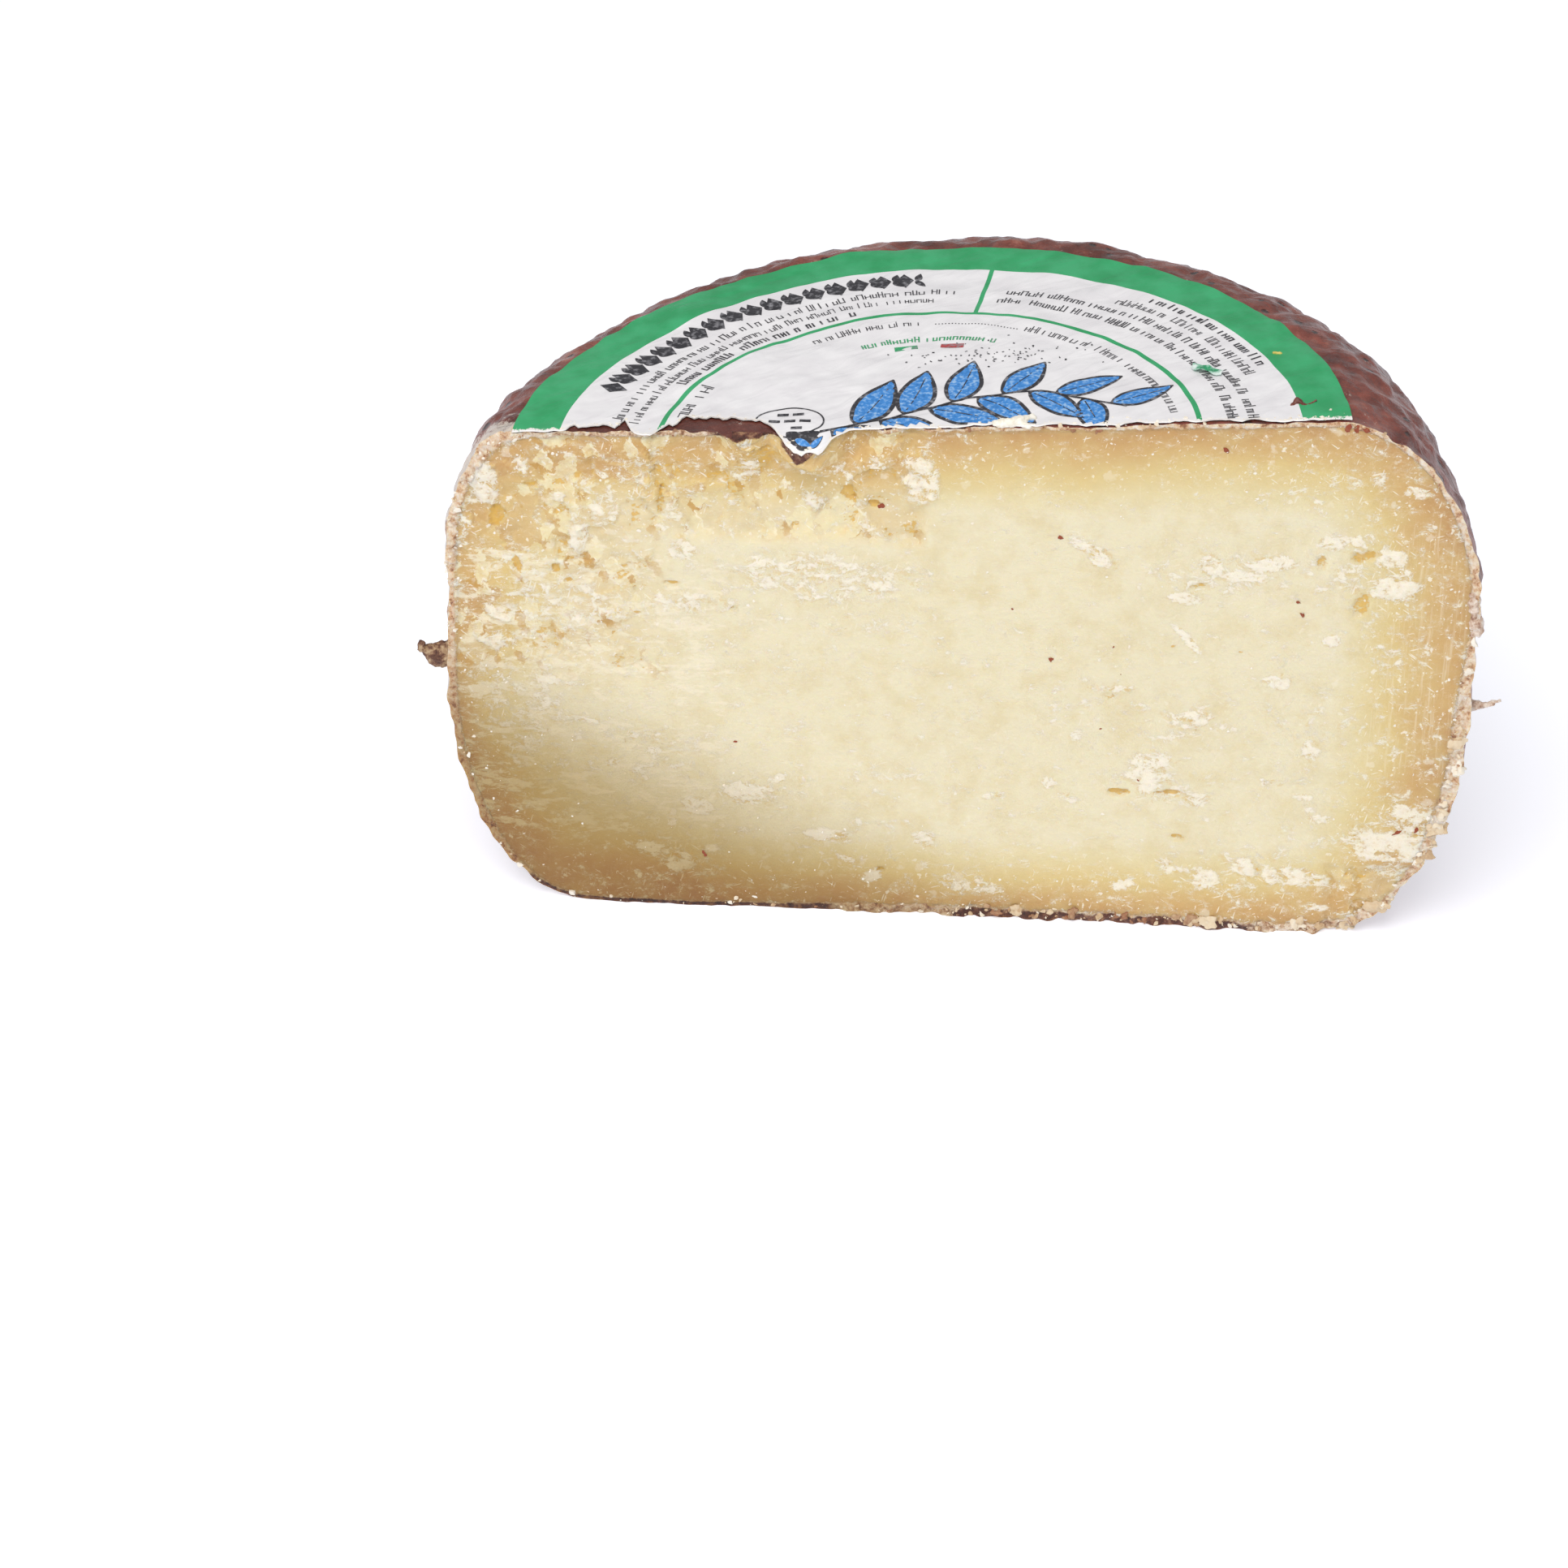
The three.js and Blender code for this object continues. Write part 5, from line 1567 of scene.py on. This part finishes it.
# The lip at the right never took the colour, and dried pale and chalky.
pale_lip, shader = finish("dry pale rind lip", 0.8)
tree = pale_lip.node_tree
mm = millimetres(tree)
stain = add(tree, "TexNoise", {
    "Vector": mm, "Scale": 1 / 1.6, "Detail": 5.0, "Roughness": 0.7}).outputs["Fac"]
tan = add(tree, "ValToRGB", {"Fac": stain}, stops=(
    (0.34, "8A6450"), (0.44, "BFA28C"), (0.54, "DBCABA"), (0.66, "EFE8E0"))).outputs[0]
tree.links.new(tan, shader.inputs["Base Color"])
wear(pale_scraps, pale_lip)

# One crumb is yellow as butter, and a little waxy.
butter, shader = finish("yellow cheese crumb", 0.5)
shader.inputs["Base Color"].default_value = linear("D9C66A")
wear(yellow_crumb, butter)
print("finishes so far:", [material.name for material in bpy.data.materials])

# %% [markdown]
# ## Label paper and ink
# The label is coated paper, white inside a green rim, printed before it was glued on. The torn front edge
# shows bare fibres. Ink on coated paper is even and a little glossy, and it wears into faint mottling.

# %% Printed paper
GREEN_FROM = 62.5
INNER_RING = 45.6
INNER_RING_HALF = 0.45
DIVIDER_ANGLE = 82.5
DIVIDER_HALF = 0.4
# Coated paper is satin and nearly white, and its creases catch the light.
paper, shader = finish("coated label paper", 0.45)
tree = paper.node_tree
mm = millimetres(tree)
centred = add(tree, "VectorMath", {0: mm, 1: (LABEL_X, LABEL_Y, 0)}, operation="SUBTRACT").outputs[0]
centred = add(tree, "VectorMath", {0: centred, 1: (1, 1, 0)}, operation="MULTIPLY").outputs[0]
radius = add(tree, "VectorMath", {0: centred}, operation="LENGTH").outputs["Value"]
divider_turn = math.radians(DIVIDER_ANGLE)
across = (math.sin(divider_turn), -math.cos(divider_turn), 0)
beside = add(tree, "VectorMath", {0: centred, 1: across}, operation="DOT_PRODUCT").outputs["Value"]
rim_green = add(tree, "Math", {0: radius, 1: GREEN_FROM}, operation="GREATER_THAN").outputs[0]
ring_green = add(tree, "Math", {0: radius, 1: INNER_RING, 2: INNER_RING_HALF}, operation="COMPARE").outputs[0]
divider = add(tree, "Math", {0: beside, 1: 0.0, 2: DIVIDER_HALF}, operation="COMPARE").outputs[0]
outside = add(tree, "Math", {0: radius, 1: INNER_RING}, operation="GREATER_THAN").outputs[0]
up = add(tree, "SeparateXYZ", {0: centred}).outputs["Y"]
far = add(tree, "Math", {0: up, 1: 0.0}, operation="GREATER_THAN").outputs[0]
divider = add(tree, "Math", {0: divider, 1: outside}, operation="MULTIPLY").outputs[0]
divider = add(tree, "Math", {0: divider, 1: far}, operation="MULTIPLY").outputs[0]
green = add(tree, "Math", {0: rim_green, 1: ring_green}, operation="MAXIMUM").outputs[0]
green = add(tree, "Math", {0: green, 1: divider}, operation="MAXIMUM").outputs[0]
mottle = add(tree, "TexNoise", {"Vector": mm, "Scale": 1 / 5, "Detail": 4.0}).outputs["Fac"]
green_ink = add(tree, "ValToRGB", {"Fac": mottle}, stops=((0.35, "279D60"), (0.65, "3CAE74"))).outputs[0]
bare = add(tree, "ValToRGB", {"Fac": mottle}, stops=((0.35, "E7E6EA"), (0.65, "F0F0F3"))).outputs[0]
print_colour = add(tree, "Mix", {"Factor": green, 6: bare, 7: green_ink}, data_type="RGBA").outputs[2]
fibre = add(tree, "TexNoise", {
    "Vector": mm, "Scale": 1 / 0.8, "Detail": 4.0, "Roughness": 0.7}).outputs["Fac"]
behind = add(tree, "Attribute", attribute_name="behind").outputs["Fac"]
fringe = add(tree, "Math", {0: fibre, 1: -3.4, 2: behind}, operation="MULTIPLY_ADD").outputs[0]
fringe = add(tree, "MapRange", {"Value": fringe, "From Min": -1.2, "From Max": -1.35}).outputs[0]
print_colour = add(tree, "Mix", {
    "Factor": fringe, 6: print_colour, 7: linear("F1EFEC")}, data_type="RGBA").outputs[2]
tree.links.new(print_colour, shader.inputs["Base Color"])
turned = add(tree, "VectorRotate", {"Vector": mm, "Axis": (0, 0, 1), "Angle": 0.9}).outputs[0]
drawn = add(tree, "VectorMath", {0: turned, 1: (1.0, 0.4, 1.0)}, operation="MULTIPLY").outputs[0]
creases = add(tree, "TexNoise", {
    "Vector": drawn, "Scale": 1 / 4.5, "Detail": 3.0, "Distortion": 0.6}).outputs["Fac"]
bump = add(tree, "Bump", {"Height": creases, "Strength": 0.5, "Distance": 0.0012})
tree.links.new(bump.outputs[0], shader.inputs["Normal"])
wear(label, paper)
print("paper finish:", len(tree.nodes), "nodes")

# %% Inks
# Ink lies on coated paper as a thin satin film, and rubbing has worn it to grey here and there.
inks = {}
for pieces, name, colour in (
    ((dark_print, frieze_print, line_print, oval_print), "dark ink", "2E2D33"),
    ((green_print,), "green ink", "2FA268"), ((red_print,), "red ink", "B4474A"),
):
    ink, shader = finish(name, 0.5)
    inks[name] = ink
    tree = ink.node_tree
    mm = millimetres(tree)
    wear_spots = add(tree, "TexNoise", {"Vector": mm, "Scale": 1 / 0.9, "Detail": 4.0}).outputs["Fac"]
    worn = add(tree, "ValToRGB", {"Fac": wear_spots}, stops=((0.5, colour), (0.72, "8F8F95"))).outputs[0]
    tree.links.new(worn, shader.inputs["Base Color"])
    for piece in pieces:
        wear(piece, ink)
# The blue is mottled, as if printed from a worn block, and each leaf has a dark outline.
blue_ink, shader = finish("blue ink", 0.5)
tree = blue_ink.node_tree
mm = millimetres(tree)
wear_spots = add(tree, "TexNoise", {"Vector": mm, "Scale": 1 / 0.7, "Detail": 5.0}).outputs["Fac"]
worn = add(tree, "ValToRGB", {"Fac": wear_spots}, stops=(
    (0.3, "2F77BE"), (0.5, "3E8DDB"), (0.68, "9CC4EC"))).outputs[0]
tree.links.new(worn, shader.inputs["Base Color"])
wear(leaf_print, blue_ink, inks["dark ink"])
wear(frieze_leaf_print, inks["dark ink"], inks["dark ink"])
print("inks:", [*inks, blue_ink.name])

# %% Printed foil
# Foil with a worn green print shines more than paper, and its pale metal shows through in patches.
foil_skin, shader = finish("printed foil scrap", 0.35)
tree = foil_skin.node_tree
patches = add(tree, "TexNoise", {"Vector": millimetres(tree), "Scale": 1 / 1.6, "Detail": 3.0}).outputs["Fac"]
foil_tone = add(tree, "ValToRGB", {"Fac": patches}, stops=(
    (0.42, "2E9A68"), (0.52, "9CC9B6"), (0.62, "DCE9E6"))).outputs[0]
tree.links.new(foil_tone, shader.inputs["Base Color"])
wear(foil, foil_skin)
print("foil finish:", len(tree.nodes), "nodes")

# %% [markdown]
# ## What each piece belongs to
# The cheese doesn't move, so every piece rides on its one body. Each piece takes the place of the packed
# model's cheese or label, and is listed under a name for what it is made of.

# %% Bodies and slots
CHEESE_PIECES = {
    "rind": (rind, scraps, pale_scraps, curl, rim_crumbs, crust_lumps, rind_specks),
    "paste": (paste, paste_crumbs, cheese_crumb, yellow_crumb, edge_dust),
}
LABEL_PIECES = (label, dark_print, frieze_print, frieze_leaf_print, leaf_print, line_print, oval_print,
                green_print, red_print, foil)
SMOOTH_ANGLE = math.radians(50)
for slot, pieces in (*CHEESE_PIECES.items(), ("label_paper", LABEL_PIECES)):
    for piece in pieces:
        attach(piece, "root")
        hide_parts("label" if slot == "label_paper" else "cheese")
        use(piece)
        bpy.ops.object.shade_smooth_by_angle(angle=SMOOTH_ANGLE)
    print(slot, len(pieces), "pieces")

# %% [markdown]
# ## The set
# A white floor and a wide soft light from the front and above, as for a shop's catalogue. The shadow falls
# behind the cheese, and only a faint one is left at its foot.

# %% Floor and lights
FLOOR_SIZE, FLOOR_GLOW = 6.0, 0.48
SKY_STRENGTH = 0.45
KEY_PLACE, KEY_SIZE, KEY_ENERGY = (-0.15, -0.58, 0.92), 0.7, 7.9
LIT_PLACE = Vector((0, 0, 0.05))
bpy.ops.mesh.primitive_plane_add(size=FLOOR_SIZE, location=(0, 0, 0))
floor = bpy.context.object
floor.name = "floor"
# Matte paper takes soft shadows and shows no reflection. A faint glow of its own keeps it white.
floor_paper, shader = finish("matte white floor", 0.9)
shader.inputs["Base Color"].default_value = linear("E3E6EF")
shader.inputs["Emission Color"].default_value = linear("FAFBFF")
shader.inputs["Emission Strength"].default_value = FLOOR_GLOW
wear(floor, floor_paper)

world = bpy.data.worlds.new("studio")
bpy.context.scene.world = world
world.use_nodes = True
world.node_tree.nodes["Background"].inputs["Color"].default_value = linear("FBFCFF")
world.node_tree.nodes["Background"].inputs["Strength"].default_value = SKY_STRENGTH

bpy.ops.object.light_add(type="AREA", location=KEY_PLACE)
key = bpy.context.object
key.name = "key"
key.data.size = KEY_SIZE
key.data.energy = KEY_ENERGY
key.data.color = linear("FFFAF4")[:3]
key.rotation_euler = (LIT_PLACE - Vector(KEY_PLACE)).to_track_quat("-Z", "Y").to_euler()
print("key light:", KEY_SIZE, "m wide, at", [round(v, 2) for v in key.location])

# %% Camera
ELEVATION = math.radians(34.586)
AZIMUTH = math.radians(4.760)
DISTANCE = 0.810
LENS, SENSOR_WIDTH = 105.06, 36
NEAREST = 0.01
AIM = Vector(((AXIS_X - 30.4) * MM, CUT_Y * MM, 27.2 * MM))
LEVEL = math.cos(ELEVATION)
toward = Vector((math.sin(AZIMUTH) * LEVEL, -math.cos(AZIMUTH) * LEVEL, math.sin(ELEVATION)))
bpy.ops.object.camera_add(location=AIM + DISTANCE * toward, rotation=(math.pi / 2 - ELEVATION, 0, AZIMUTH))
camera = bpy.context.object
camera.data.lens = LENS
camera.data.sensor_width = SENSOR_WIDTH
camera.data.clip_start = NEAREST
scene = bpy.context.scene
scene.camera = camera
scene.view_settings.view_transform = "Standard"
print("camera:", DISTANCE, "m from its aim, at", [round(v, 3) for v in camera.location])
